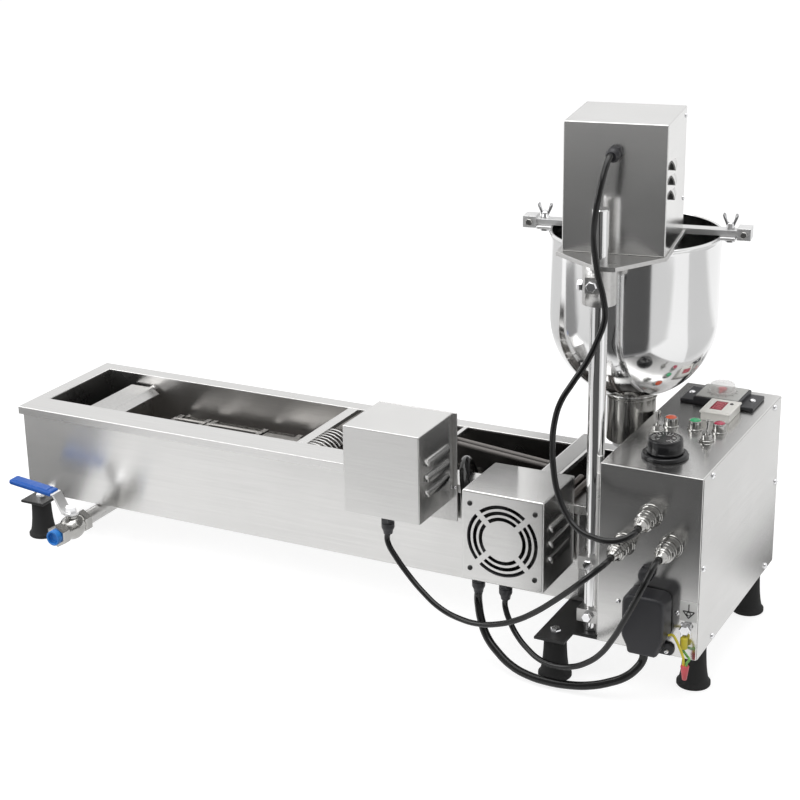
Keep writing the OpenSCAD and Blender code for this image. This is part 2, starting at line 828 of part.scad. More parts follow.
module gearmotor() {
    difference() {
        union() {
            block(
                [-gearmotor_side / 2, -40, -gearmotor_side / 2],
                [gearmotor_side / 2, 0, gearmotor_side / 2]
            );
            translate([0, -gearmotor_l, 0]) bar_y_way(gearmotor_side - 4, gearmotor_l - 39);
        }
        translate([0, -42, 0]) bar_y_way(shaft_d + 2 * run_gap, 43);
    }
}

module gearmotors() {
    color("dimgray") union() {
        in_frame() translate([drive_x, -hanger_t, motor_shaft_z]) gearmotor();
        in_head() translate([head_side, head_y1 - sheet, crank_z]) gearmotor();
    }
}

slot_w = 4.5;
slot_pitch = 7.5;
slot_rings = [for (i = [0 : 2]) fan_side / 2 - 1 - slot_pitch * i];
spoke_w = 7;

module fan_slots() {
    translate([fan_x, -heater_box_d - 1, fan_z]) rotate([-90, 0, 0]) difference() {
        for (r = slot_rings) {
            difference() {
                cylinder(r = r, h = sheet + 2);
                translate([0, 0, -1]) cylinder(r = r - slot_w, h = sheet + 4);
            }
        }
        for (a = [45, 135]) {
            rotate(a) translate([-fan_side, -spoke_w / 2, -1]) cube([2 * fan_side, spoke_w, sheet + 4]);
        }
    }
}

module at_fan_screws() {
    for (sx = [-1, 1]) for (sz = [-1, 1]) {
        translate([fan_x + sx * fan_pitch / 2, 0, fan_z + sz * fan_pitch / 2]) children();
    }
}

module heater_cover() {
    color("silver") in_frame() union() {
        difference() {
            block([heater_x, -heater_box_d, heater_z], [heater_x + heater_w, 0, heater_z + heater_h]);
            block(
                [heater_x + sheet, -heater_box_d + sheet, heater_z + sheet],
                [heater_x + heater_w - sheet, -sheet, heater_z + heater_h - sheet]
            );
            fan_slots();
            for (i = [0 : 2]) {
                louvre_cut(heater_x + heater_w, -heater_box_d + 18, -20, heater_z + 32 + 19.5 * i);
            }
        }
        for (i = [0 : 2]) {
            louvre_hood(heater_x + heater_w, -heater_box_d + 18, -20, heater_z + 32 + 19.5 * i);
        }
    }
}

fan_hub_r = 18;
fan_pin_d = 4;
fan_back = fan_depth - 4;

module fan_frame() {
    color("black") in_frame() difference() {
        union() {
            difference() {
                block(
                    [fan_x - fan_side / 2, fan_front, fan_z - fan_side / 2],
                    [fan_x + fan_side / 2, fan_front + fan_depth, fan_z + fan_side / 2]
                );
                translate([fan_x, fan_front - 1, fan_z]) bar_y_way(fan_side - 4, fan_depth + 2);
                at_fan_screws() translate([0, fan_front - 1, 0]) bar_y_way(4.4, fan_depth + 2);
            }
            translate([fan_x, fan_front + fan_back, fan_z]) bar_y_way(2 * fan_hub_r + 2, 4);
            block(
                [fan_x - fan_side / 2 + 1, fan_front + fan_back, fan_z - 2],
                [fan_x + fan_side / 2 - 1, fan_front + fan_depth, fan_z + 2]
            );
            block(
                [fan_x - 2, fan_front + fan_back, fan_z - fan_side / 2 + 1],
                [fan_x + 2, fan_front + fan_depth, fan_z + fan_side / 2 - 1]
            );
        }
        translate([fan_x, fan_front + fan_back - 1, fan_z]) bar_y_way(fan_pin_d + 2 * run_gap, 6);
    }
}

module fan_rotor() {
    color("black") in_frame() translate([fan_x, fan_front, fan_z]) rotate([-90, 0, 0]) union() {
        translate([0, 0, 1.5]) cylinder(r = fan_hub_r, h = fan_back - fit - 1.5);
        cylinder(d = fan_pin_d, h = fan_back + 3);
        for (i = [0 : 6]) {
            rotate(360 * i / 7) translate([fan_hub_r - 1, 0, fan_back / 2]) rotate([38, 0, 0])
                translate([0, -8, -0.75]) cube([fan_side / 2 - fan_hub_r - 3.6, 16, 1.5]);
        }
    }
}

module heater_sleeve() {
    color("black") in_frame() swept(sleeve_route, sleeve_d, 12, 2, [0, 0, 1]);
}

module gland() {
    cylinder(r = gland_r, h = 6, $fn = 6);
    cylinder(r = gland_r - 1, h = 16);
    translate([0, 0, 16]) cylinder(r1 = gland_r - 1, r2 = cord_d / 2 + 2, h = gland_l - 16);
}

module cable_glands() {
    color("black") union() {
        in_frame() union() {
            translate([motor_gland[0], motor_gland[1], motor_z]) rotate([180, 0, 0]) gland();
            translate([fan_gland[0], fan_gland[1], heater_z]) rotate([180, 0, 0]) gland();
            translate([cable_gland[0], cable_gland[1], heater_z]) rotate([180, 0, 0]) gland();
        }
        in_head() translate([head_side, head_back, head_gland_z]) rotate([90, 0, 0]) gland();
    }
}

// Base

foot_inset = 20;
foot_skirt = 5;
foot_at = [
    [left_rail_x, -left_rail_reach + foot_inset],
    [left_rail_x, tank_w + rail_back - foot_inset],
    [right_rail_x, -right_rail_reach + foot_inset],
    [right_rail_x, tank_w + rail_back - foot_inset],
    [ctrl_x1 - ctrl_foot_inset, ctrl_y + 42],
    [ctrl_x1 - ctrl_foot_inset, ctrl_y1 - 47]
];

module cross_rails() {
    color("black") in_frame() union() {
        block(
            [left_rail_x - rail_w / 2, -left_rail_reach, rail_z],
            [left_rail_x + rail_w / 2, tank_w + rail_back, deck_z]
        );
        block(
            [right_rail_x - rail_w / 2, -right_rail_reach, rail_z],
            [right_rail_x + rail_w / 2, tank_w + rail_back, deck_z]
        );
        block([right_rail_x, post_y - rail_w / 2, rail_z], [ctrl_x, post_y + rail_w / 2, deck_z]);
    }
}

module rubber_feet() {
    color("black") in_frame() union() {
        for (p = foot_at) {
            translate([p[0], p[1], 0]) cylinder(d = foot_base_d, h = foot_skirt);
            translate([p[0], p[1], foot_skirt])
                cylinder(d1 = foot_base_d - 3, d2 = foot_top_d, h = foot_h - foot_skirt);
        }
    }
}

clamp_z = [deck_z + 22, deck_z + 89];
bracket_h = 198;
clamp_half = 15;
collar_bolt_z = plate_z - 18;
lug_w = 16;
lug_h = 18;
lug_left = 4;
lug_y = collar_r + 2;

module hex_bolts() {
    color("silver") union() {
        in_frame() union() {
            for (i = [0 : 3]) {
                translate([foot_at[i][0], foot_at[i][1], deck_z]) hex_bolt(13, 6);
            }
            for (z = clamp_z) {
                translate([post_x, post_y - clamp_half, z]) rotate([90, 0, 0]) hex_bolt(12, 5);
            }
            translate([earth_at[0], ctrl_y - 2, earth_at[1]]) rotate([90, 0, 0]) hex_bolt(9, 5);
        }
        in_head() translate([-lug_left, -lug_y, collar_bolt_z]) rotate([90, 0, 0]) hex_bolt(14, 6);
        in_head() translate([-collar_r, 0, collar_bolt_z - 6]) rotate([0, -90, 0]) hex_bolt(12, 8);
    }
}

// Drain valve

module drain_pipe() {
    color("silver") in_frame() difference() {
        union() {
            translate([drain_x, pipe_rise_y, pipe_z]) cylinder(d = pipe_d, h = floor_z - sheet - pipe_z);
            translate([drain_x, pipe_rise_y, pipe_z]) sphere(d = pipe_d);
            translate([drain_x, inlet_y, pipe_z]) bar_y_way(pipe_d, pipe_rise_y - inlet_y);
        }
        translate([drain_x, pipe_rise_y, pipe_z]) cylinder(r = drain_bore, h = floor_z);
        translate([drain_x, inlet_y - 1, pipe_z]) bar_y_way(2 * drain_bore, pipe_rise_y - inlet_y + 1);
    }
}

module valve_body() {
    color("silver") in_frame() translate([drain_x, 0, pipe_z]) difference() {
        union() {
            translate([0, outlet_y, 0]) bar_y_way(27, inlet_y - outlet_y);
            translate([0, outlet_y, 0]) rotate([-90, 0, 0]) cylinder(r = 16, h = 14, $fn = 6);
            translate([0, inlet_y - 14, 0]) rotate([-90, 0, 0]) cylinder(r = 16, h = 14, $fn = 6);
            translate([0, valve_y, 0]) sphere(r = 17);
            translate([0, valve_y, 0]) cylinder(r = 8, h = lever_z - pipe_z - 2);
        }
        translate([0, outlet_y - 1, 0]) bar_y_way(2 * drain_bore, inlet_y - outlet_y + 2);
        translate([0, valve_y, 0]) sphere(r = ball_r + fit);
        translate([0, valve_y, 0]) cylinder(d = stem_d + 2 * run_gap, h = lever_z);
    }
}

module valve_stem() {
    color("silver") in_frame() translate([drain_x, valve_y, 0]) union() {
        difference() {
            translate([0, 0, pipe_z]) sphere(r = ball_r);
            translate([0, -ball_r - 1, pipe_z]) bar_y_way(2 * drain_bore, 2 * ball_r + 2);
        }
        translate([0, 0, pipe_z + drain_bore + 1])
            cylinder(d = stem_d, h = lever_z - pipe_z - drain_bore + 5);
        translate([0, 0, lever_z + lever_t]) cylinder(d = 15, h = 7, $fn = 6);
        translate([0, 0, lever_z - 1.7]) cylinder(d = 14, h = 1.7);
    }
}

// Corner of a strip of the lever's thickness where its direction changes
function strip_corner(a, b) = lever_t * (a + b) / (1 + a * b);

module valve_lever() {
    step_angle = atan2(lever_rise, lever_step);
    flat_way = [0, 1];
    step_way = [sin(step_angle), cos(step_angle)];
    grip_way = [sin(lever_slope), cos(lever_slope)];
    foot = [-lever_flat, 0];
    knee = foot + [-lever_step, lever_rise];
    tip = knee + lever_run * [-cos(lever_slope), sin(lever_slope)];
    color("silver") in_frame() translate([drain_x, valve_y, lever_z]) difference() {
        union() {
            translate([0, lever_w / 2, 0]) rotate([90, 0, 0]) linear_extrude(lever_w) polygon([
                [0, 0],
                foot,
                knee,
                tip,
                tip + lever_t * grip_way,
                knee + strip_corner(step_way, grip_way),
                foot + strip_corner(flat_way, step_way),
                [0, lever_t]
            ]);
            cylinder(r = lever_w / 2 + 2, h = lever_t);
        }
        translate([0, 0, -1]) cylinder(d = stem_d, h = lever_t + 2);
    }
}

module lever_grip() {
    color("blue") in_frame()
        translate([drain_x - lever_flat - lever_step, valve_y, lever_z + lever_rise])
            rotate([0, lever_slope, 0]) difference() {
                block(
                    [-lever_run - grip_end, -lever_w / 2 - 2, -grip_under],
                    [-lever_run + grip_l, lever_w / 2 + 2, lever_t + grip_under]
                );
                block([-lever_run, -lever_w / 2, 0], [0, lever_w / 2, lever_t]);
            }
}

module outlet_plug() {
    color("blue") in_frame() translate([drain_x, outlet_y - 8, pipe_z]) bar_y_way(21, 8);
}

// Post and head

module post() {
    color("silver") in_frame() translate([post_x, post_y, deck_z]) cylinder(d = post_d, h = post_l);
}

module post_bracket() {
    color("silver") in_frame() difference() {
        union() {
            block([ctrl_x - bracket_t, post_y - 14, deck_z], [ctrl_x, post_y + 22, deck_z + bracket_h]);
            for (z = clamp_z) {
                block(
                    [post_x - post_d / 2 - 4, post_y - clamp_half, z - 8],
                    [ctrl_x - bracket_t / 2, post_y + clamp_half, z + 8]
                );
            }
        }
        translate([post_x, post_y, deck_z - 1]) cylinder(d = post_d + 0.1, h = post_l);
    }
}

plate_left = 6;
plate_right = 2;
nose_w = 22;
nose_y = -collar_r - 5;

module head_plate() {
    color("silver") in_head() difference() {
        union() {
            translate([0, 0, plate_z]) linear_extrude(plate_t) polygon([
                [head_x0 - plate_left, head_back - 2],
                [0, nose_y],
                [nose_w, nose_y],
                [head_x1 + plate_right, head_back + 4],
                [head_x1 + plate_right, yoke_y],
                [head_x0 - plate_left, yoke_y]
            ]);
            translate([0, 0, plate_z - collar_h]) cylinder(r = collar_r, h = collar_h + 1);
            block(
                [-lug_w / 2 - lug_left, -lug_y, collar_bolt_z - lug_h / 2],
                [lug_w / 2 - lug_left, 0, collar_bolt_z + lug_h / 2]
            );
        }
        translate([0, 0, plate_z - collar_h - 1]) cylinder(d = post_d + 0.1, h = collar_h + plate_t + 2);
    }
}

module head_cover() {
    color("silver") in_head() union() {
        difference() {
            block([head_x0, head_back, head_z], [head_x1, head_y1, head_z + head_h]);
            block(
                [head_x0 + sheet, head_back + sheet, head_z - 1],
                [head_x1 - sheet, head_y1 - sheet, head_z + head_h - sheet]
            );
            translate([head_side, head_y1 - 2 * sheet, crank_z]) bar_y_way(shaft_d + 2, 3 * sheet);
            for (i = [0 : 2]) {
                louvre_cut(head_x1, head_back + 24, head_back + 50, head_z + 60 + 16.5 * i);
            }
        }
        for (i = [0 : 2]) {
            louvre_hood(head_x1, head_back + 24, head_back + 50, head_z + 60 + 16.5 * i);
        }
    }
}

module crank_disc() {
    color("silver") in_head() translate([head_side, 0, crank_z]) union() {
        translate([0, head_y1 - 40, 0]) bar_y_way(shaft_d, crank_disc_y - head_y1 + 41);
        translate([0, crank_disc_y, 0]) bar_y_way(2 * crank_r + 18, crank_disc_t);
        translate([0, crank_disc_y, -crank_r]) bar_y_way(crank_pin_d, con_y - 0.4 - crank_disc_y);
    }
}

module connecting_rod() {
    color("silver") in_head() translate([head_side, con_y, pin_low_z]) difference() {
        union() {
            bar_y_way(18, con_t);
            translate([0, 0, con_l]) bar_y_way(20, con_t);
            block([-5, 0, 0], [5, con_t, con_l]);
            translate([0, con_t - 0.5, con_l]) bar_y_way(14, 4.5);
        }
        translate([0, -1, 0]) bar_y_way(con_pin_d + 2 * run_gap, con_t + 2);
    }
}

clevis_y0 = con_y - 6;
clevis_y1 = con_y + con_t + 6;
clevis_z0 = pin_low_z - clevis_drop;
clevis_z1 = pin_low_z + 9;
piston_z = former_z + 26;
piston_t = 10;
disc_z = former_z - 8;

module plunger() {
    color("silver") in_head() translate([head_side, 0, 0]) union() {
        difference() {
            block([-9, clevis_y0, clevis_z0], [9, clevis_y1, clevis_z1]);
            block([-10, con_y - fit, pin_low_z - 9.6], [10, con_y + con_t + fit, clevis_z1 + 1]);
        }
        translate([0, clevis_y0, pin_low_z]) bar_y_way(con_pin_d, clevis_y1 - clevis_y0);
        translate([0, hopper_back, disc_z]) cylinder(d = rod_d, h = clevis_z0 - disc_z + 1);
        translate([0, hopper_back, piston_z]) cylinder(r = neck_in_r - fit, h = piston_t);
        translate([0, hopper_back, disc_z]) cylinder(r = neck_in_r - 4, h = 5);
    }
}

// Hopper

module at_hopper() {
    in_head() translate([head_side, hopper_back, 0]) children();
}

neck_lap = 16;
stud_d = 6;

module hopper() {
    color("silver") at_hopper() difference() {
        union() {
            translate([0, 0, bowl_z]) cylinder(r = hopper_r, h = hopper_wall_h);
            translate([0, 0, bowl_z]) sphere(r = hopper_r);
            translate([0, 0, neck_z]) cylinder(r = former_r, h = neck_lap);
            translate([0, 0, hopper_rim_z - 2.5]) rotate_extrude() translate([hopper_r, 0]) circle(r = 2.5);
            for (s = [-1, 1]) {
                translate([s * (hopper_r - 4 + ear_l / 2), 0, hopper_rim_z - ear_t / 2])
                    cube([ear_l, ear_w, ear_t], center = true);
            }
        }
        translate([0, 0, bowl_z]) cylinder(r = hopper_r - sheet, h = hopper_wall_h + 1);
        translate([0, 0, bowl_z]) sphere(r = hopper_r - sheet);
        translate([0, 0, bowl_z - hopper_r - 1]) cylinder(r = neck_in_r, h = hopper_r / 2);
        for (s = [-1, 1]) {
            translate([s * ear_x, 0, hopper_rim_z - ear_t - 1]) cylinder(d = stud_d + 0.1, h = ear_t + 2);
        }
    }
}

former_rim = 1.5;
former_rim_h = 4;

module forming_cylinder() {
    color("silver") at_hopper() translate([0, 0, former_z]) difference() {
        union() {
            cylinder(r = former_r, h = former_l);
            translate([0, 0, former_l - former_rim_h])
                cylinder(r = former_r + former_rim, h = former_rim_h);
        }
        translate([0, 0, -1]) cylinder(r = neck_in_r, h = former_l + 2);
    }
}

module hopper_bar() {
    color("silver") at_hopper() translate([0, 0, hopper_rim_z]) difference() {
        union() {
            translate([-bar_half, -yoke_w / 2, 0]) cube([2 * bar_half, yoke_w, bar_t]);
            for (s = [-1, 1]) {
                translate([s * (bar_half - bar_end_l / 2), 0, bar_t / 2])
                    cube([bar_end_l, yoke_w + 6, bar_t + 7], center = true);
            }
            translate([0, 0, bar_t - 1]) cylinder(d = rod_d + 3, h = guide_h + 1);
        }
        translate([0, 0, -1]) cylinder(d = rod_d + 2 * run_gap, h = bar_t + guide_h + 2);
        for (s = [-1, 1]) {
            translate([s * ear_x, 0, -1]) cylinder(d = stud_d + 0.1, h = bar_t + 2);
        }
    }
}

module wing_nuts() {
    color("silver") at_hopper() union() {
        for (s = [-1, 1]) {
            translate([s * ear_x, 0, 0]) union() {
                translate([0, 0, hopper_rim_z - ear_t - 4]) cylinder(d = 12, h = 4, $fn = 6);
                translate([0, 0, hopper_rim_z - ear_t - 1]) cylinder(d = stud_d, h = bar_t + ear_t + 14);
                translate([0, 0, bar_top]) cylinder(r1 = 7, r2 = 5, h = 8);
                for (t = [-1, 1]) {
                    translate([t * 4, 0, bar_top + 3]) rotate([0, t * 24, 0])
                        translate([-5, -1.5, 0]) cube([10, 3, 15]);
                }
            }
        }
    }
}

// Control box

knob_hole_d = 16;
knob_shaft_d = 6;

module control_housing() {
    color("silver") in_frame() difference() {
        block([ctrl_x, ctrl_y, foot_h], [ctrl_x1, ctrl_y1, ctrl_top]);
        block(
            [ctrl_x + sheet, ctrl_y + sheet, foot_h + sheet],
            [ctrl_x1 + 1, ctrl_y1 - sheet, ctrl_top - sheet]
        );
        translate([knob_at[0], knob_at[1], ctrl_top - 2 * sheet]) cylinder(d = knob_hole_d, h = 3 * sheet);
    }
}

module side_cover() {
    color("silver") in_frame()
        block([ctrl_x1, ctrl_y + 1, foot_h + 1], [ctrl_x1 + cover_t, ctrl_y1 - 1, ctrl_top - 1]);
}

side_screw_at = [
    [ctrl_y + 30, ctrl_top - 6], [ctrl_y1 - 30, ctrl_top - 6], [ctrl_y1 - 9, foot_h + ctrl_h / 2],
    [ctrl_y1 - 35, foot_h + 7], [ctrl_y + 55, foot_h + 7], [ctrl_y + 10, foot_h + ctrl_h / 2]
];
ear_screw_x = [cover_x0 + 2, cover_x1 - 4];
timer_ear_x = 38;
timer_ear_t = 5;

module small_screws() {
    color("silver") in_frame() union() {
        for (p = side_screw_at) {
            translate([ctrl_x1 + cover_t, p[0], p[1]]) rotate([0, 90, 0]) pan_screw(8, screw_h);
        }
        at_fan_screws() translate([0, -heater_box_d, 0]) rotate([90, 0, 0]) pan_screw(8, 2);
        translate([motor_x + motor_w + hanger_over / 2, -hanger_t, motor_z + 15]) rotate([90, 0, 0])
            pan_screw(4, 1.5);
        for (x = ear_screw_x) {
            translate([x, ctrl_y - 4, cover_z0 - 3]) rotate([90, 0, 0]) pan_screw(6, 2);
        }
        for (x = [ctrl_x + 26, ctrl_x1 - 24]) {
            translate([x, ctrl_y, foot_h + 56]) rotate([90, 0, 0]) pan_screw(6, 1.5);
        }
        for (s = [-1, 1]) {
            translate([timer_at[0] + s * timer_ear_x, timer_at[1], ctrl_top + timer_ear_t])
                pan_screw(8, 2.5);
        }
    }
}

flange_t = 5;
knob_r = 20;
knob_h = 17;
knob_flutes = 18;

module thermostat_body() {
    color("black") in_frame() translate([knob_at[0], knob_at[1], ctrl_top]) difference() {
        union() {
            cylinder(r1 = 27, r2 = 25, h = flange_t);
            translate([0, 0, -3]) cylinder(d = knob_hole_d - 0.2, h = 4);
            translate([0, 0, -32 - sheet]) cylinder(r = 18, h = 32);
        }
        translate([0, 0, -26]) cylinder(d = knob_shaft_d + 2 * run_gap, h = 40);
    }
}

module temperature_knob() {
    color("black") in_frame() translate([knob_at[0], knob_at[1], ctrl_top]) union() {
        translate([0, 0, -24]) cylinder(d = knob_shaft_d, h = 30);
        translate([0, 0, flange_t + fit]) difference() {
            cylinder(r1 = knob_r + 1, r2 = knob_r, h = knob_h);
            for (i = [0 : knob_flutes - 1]) {
                rotate(360 * i / knob_flutes) translate([knob_r + 2, 0, -1])
                    cylinder(d = 4, h = knob_h + 2);
            }
        }
    }
}

toggle_pivot = 9;
toggle_pin_d = 5;
toggle_pin_l = 4.8;
toggle_bore_r = norm([toggle_pin_d, toggle_pin_l]) / 2 + run_gap;
toggle_lean = 12;

module toggle(at) {
    translate([at[0], at[1], ctrl_top + toggle_pivot]) rotate([-toggle_lean, 0, 0]) union() {
        translate([-toggle_pin_l / 2, 0, 0]) bar_x_way(toggle_pin_d, toggle_pin_l);
        cylinder(r1 = 2, r2 = 3, h = 15);
        translate([0, 0, 15]) sphere(r = 3);
    }
}

module toggle_left() {
    color("silver") in_frame() toggle(toggle_at[0]);
}

module toggle_right() {
    color("silver") in_frame() toggle(toggle_at[1]);
}

lamp_r = 8;
lens_r = 5.5;
lamp_h = 11;

module panel_fittings() {
    color("silver") in_frame() union() {
        for (p = toggle_at) {
            translate([p[0], p[1], ctrl_top]) difference() {
                union() {
                    cylinder(r = 9, h = 3, $fn = 6);
                    cylinder(r = 6, h = toggle_pivot + 0.5);
                }
                translate([0, 0, toggle_pivot - 4]) cylinder(r = toggle_bore_r, h = 6);
            }
        }
        for (p = lamp_at) {
            translate([p[0], p[1], ctrl_top]) difference() {
                union() {
                    cylinder(r = lamp_r + 1.5, h = 2);
                    cylinder(r = lamp_r, h = lamp_h);
                }
                translate([0, 0, lamp_h - 2]) cylinder(r = lens_r + 0.1, h = 3);
            }
        }
        for (p = plug_at) {
            translate([p[0], ctrl_y, p[1]]) rotate([90, 0, 0]) union() {
                cylinder(r = socket_r + 2, h = 2);
                cylinder(r = socket_r, h = socket_l);
            }
        }
    }
}

module lamp_lenses() {
    color("red") in_frame() union() {
        for (p = lamp_at) {
            translate([p[0], p[1], ctrl_top + lamp_h - 2]) union() {
                cylinder(r = lens_r, h = 3);
                translate([0, 0, 3]) cylinder(r1 = lens_r, r2 = lens_r - 2, h = 1.5);
            }
        }
    }
}

module counter_body() {
    color("white") in_frame() translate([counter_at[0], counter_at[1], ctrl_top]) union() {
        cube([35, 46, 13]);
        translate([-1.5, -1.5, 10]) cube([38, 49, 2]);
    }
}

module timer_body() {
    color("black") in_frame() translate([timer_at[0], timer_at[1], ctrl_top]) difference() {
        union() {
            block([-46, -25, 0], [46, 25, timer_ear_t]);
            block([-29, -26, 0], [29, 26, timer_top - 2]);
            block([-28, -25, 0], [28, 25, timer_top]);
        }
        translate([0, 0, 2]) cylinder(d = 5 + 2 * run_gap, h = timer_top);
    }
}

module timer_dial() {
    color("white") in_frame() translate(dome_at) union() {
        translate([0, 0, -9.5]) cylinder(d = 5, h = 11);
        translate([0, 0, fit]) cylinder(r = 17, h = 3);
        translate([0, 0, fit]) cylinder(r1 = 15.5, r2 = 14, h = 11);
    }
}

module connector_plugs() {
    color("silver") in_frame() union() {
        for (p = plug_at) {
            translate([p[0], ctrl_y - socket_l, p[1]]) rotate([90, 0, 0]) union() {
                cylinder(r = 13, h = 13);
                translate([0, 0, 13]) cylinder(r1 = 11, r2 = 9.5, h = plug_l - socket_l - 21);
                translate([0, 0, plug_l - socket_l - 8]) cylinder(r1 = 9, r2 = cord_d / 2 + 2, h = 8);
            }
        }
    }
}

module fuse_holder() {
    color("black") in_frame() translate([fuse_at[0], ctrl_y, fuse_at[1]]) rotate([90, 0, 0]) union() {
        cylinder(r = 10, h = 3, $fn = 6);
        cylinder(r = 8, h = 9);
        translate([0, 0, 9]) cylinder(r1 = 7.5, r2 = 6.5, h = 5);
    }
}

module terminal_cover() {
    color("black") in_frame() union() {
        block([cover_x0, ctrl_y - cover_d, cover_z0 + 12], [cover_x1, ctrl_y, cover_z1 - 6]);
        block([cover_x0 + 4, ctrl_y - cover_d + 5, cover_z1 - 7], [cover_x1 - 4, ctrl_y, cover_z1]);
        block([cover_x0 + 8, ctrl_y - cover_d + 2, cover_z0], [cover_x1 - 8, ctrl_y, cover_z0 + 13]);
        block([cover_x0 - 4, ctrl_y - 4, cover_z0 - 8], [cover_x1 + 4, ctrl_y, cover_z0 + 6]);
    }
}

// Cords

module head_cord() {
    color("black") in_frame() swept(head_route, cord_d, 10, 2, [1, 0, 0]);
}

module conveyor_cord() {
    color("black") in_frame() swept(conveyor_route, cord_d, 10, 2, [1, 0, 0]);
}

module fan_cord() {
    color("black") in_frame() swept(fan_route, cord_d, 10, 2, [1, 0, 0]);
}

module heater_cable() {
    color("black") in_frame() swept(cable_route, cable_d, 12, 2, [1, 0, 0]);
}

module link_wire() {
    color("yellow") in_frame() swept(link_route, wire_d, 8, 2, [0, 1, 0]);
}

module earth_wire() {
    color("green") in_frame() swept(earth_route, wire_d, 8, 2, [0, 1, 0]);
}

module wire_cap() {
    color("red") in_frame() union() {
        translate([cap_at[0], cap_at[1], cap_at[2] - 14]) cylinder(r1 = 2.5, r2 = wire_d + 1.2, h = 14);
        translate([earth_at[0], crimp_end[1], crimp_end[2]]) cylinder(d = 7, h = 13);
        translate([earth_at[0] - 6, ctrl_y - 2, earth_at[1] - 12]) cube([12, 2, 18]);
        translate([earth_at[0] - 2.5, crimp_end[1] - 1, crimp_end[2] + 10]) cube([5, 7, 3]);
    }
}

tank_casing();
oil_tank();
discharge_flipper();
turner_flipper();
tank_bridges();
drive_shaft();
idler_shaft();
motor_shaft();
conveyor_chain();
heater_tubes();
motor_cover();
motor_hanger();
gearmotors();
heater_cover();
fan_frame();
fan_rotor();
heater_sleeve();
cable_glands();
cross_rails();
rubber_feet();
hex_bolts();
drain_pipe();
valve_body();
valve_stem();
valve_lever();
lever_grip();
outlet_plug();
post();
post_bracket();
head_plate();
head_cover();
crank_disc();
connecting_rod();
plunger();
hopper();
forming_cylinder();
hopper_bar();
wing_nuts();
control_housing();
side_cover();
small_screws();
thermostat_body();
temperature_knob();
toggle_left();
toggle_right();
panel_fittings();
lamp_lenses();
counter_body();
timer_body();
timer_dial();
connector_plugs();
fuse_holder();
terminal_cover();
head_cord();
conveyor_cord();
fan_cord();
heater_cable();
earth_wire();
link_wire();
wire_cap();
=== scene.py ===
import functools
import json
import math

import bmesh
import bpy
from bpy.props import FloatProperty, FloatVectorProperty, IntProperty, PointerProperty
from mathutils import Matrix, Vector


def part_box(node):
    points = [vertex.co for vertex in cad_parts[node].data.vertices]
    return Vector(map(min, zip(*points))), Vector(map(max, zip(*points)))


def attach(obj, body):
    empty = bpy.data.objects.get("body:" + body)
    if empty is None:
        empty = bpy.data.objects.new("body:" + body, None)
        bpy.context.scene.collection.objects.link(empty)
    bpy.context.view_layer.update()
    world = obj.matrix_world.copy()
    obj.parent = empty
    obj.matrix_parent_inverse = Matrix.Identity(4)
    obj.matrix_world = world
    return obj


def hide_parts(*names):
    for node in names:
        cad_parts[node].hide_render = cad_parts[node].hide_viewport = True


bl_info = {
    "name": "Ring doughnut fryer",
    "version": (1, 0, 0),
    "blender": (4, 5, 0),
    "location": "View3D > Sidebar > Fryer",
    "description": "Dresses the packed solids of a table-top ring doughnut fryer",
    "category": "Object",
}

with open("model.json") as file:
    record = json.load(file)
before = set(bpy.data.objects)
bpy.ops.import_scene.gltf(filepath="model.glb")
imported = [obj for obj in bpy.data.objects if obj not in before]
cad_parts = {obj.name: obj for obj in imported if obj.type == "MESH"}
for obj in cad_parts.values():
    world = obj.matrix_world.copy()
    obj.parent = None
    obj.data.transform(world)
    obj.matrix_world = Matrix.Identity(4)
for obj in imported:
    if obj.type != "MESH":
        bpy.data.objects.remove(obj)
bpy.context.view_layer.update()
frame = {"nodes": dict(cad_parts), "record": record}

# Trough points are in millimetres: x along the trough from its left end, y away
# from its near rim, z up from the floor. The casing stands 4 mm inside the rim.
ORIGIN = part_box("tank_casing")[0] - Vector((4, 4, 56)) / 1000
X, Y, Z = range(3)
UP, NEAR, RIGHT = (0, 0, 1), (0, -1, 0), (1, 0, 0)
RIM_Z = 184.0
SHAFT_Z = 120.0
IDLER_X, DRIVE_X = 152.0, 620.0
CHAIN_R = 13.65
DRAIN = (120.0, 45.0)
LEVER_Y = -54.0
FAN = (778.0, 165.0)
FAN_HOLE = 41.25
RAIL_FEET = ((32, -8), (32, 216), (841, -82), (841, 216))
BOX_FEET = ((995, -32), (995, 181))
POST_X, POST_Y = 876.0, -54.0
HEAD_TURN = math.radians(9.3)
HOPPER_X, HOPPER_Y = 8.0, 168.0
HOPPER_R = 100.0
HOPPER_RIM_Z = 497.7
BOWL_Z = 392.7
NECK_Z = 295.64
FORMER_Z = 235.64
BAR_TOP_Z = 504.7
BAR_END_X, BAR_END_Y = 127.0, 11.0
WING_NUT_X = 110.0
PANEL_Z = 275.0
PANEL_Y = -74.0
KNOB = (948.0, -24.0)
TOGGLES = {"toggle_left": (915.0, 42.0), "toggle_right": (977.0, 36.0)}
LAMPS = ((922.0, 71.0), (951.0, 73.0), (980.0, 75.0))
TIMER = (950.0, 180.0)
PLUGS = ((951.0, 222.0), (920.0, 181.0), (976.0, 189.0))
TERMINAL_X = 955.0
EARTH_X = 997.0
SIGN_X = 999.5

# Angles in degrees over which an edge shows: most pieces, sheets, round forms and louvres
EDGE, SHEET_EDGE, ROUND_EDGE, LOUVRE_EDGE = 35.0, 32.0, 50.0, 70.0
# In metres: how near to a plane a corner counts as on it, and what counts as a long edge
ON_PLANE = 4e-5
LONG_EDGE = 0.02


def spot(x, y, z):
    """Frame point in metres of a trough point in millimetres."""
    return ORIGIN + Vector((x, y, z)) / 1000


def head_spot(x, y, z):
    """Frame point of a point beside the post, in the head's own directions."""
    c, s = math.cos(HEAD_TURN), math.sin(HEAD_TURN)
    return spot(POST_X + x * c - y * s, POST_Y + x * s + y * c, z)


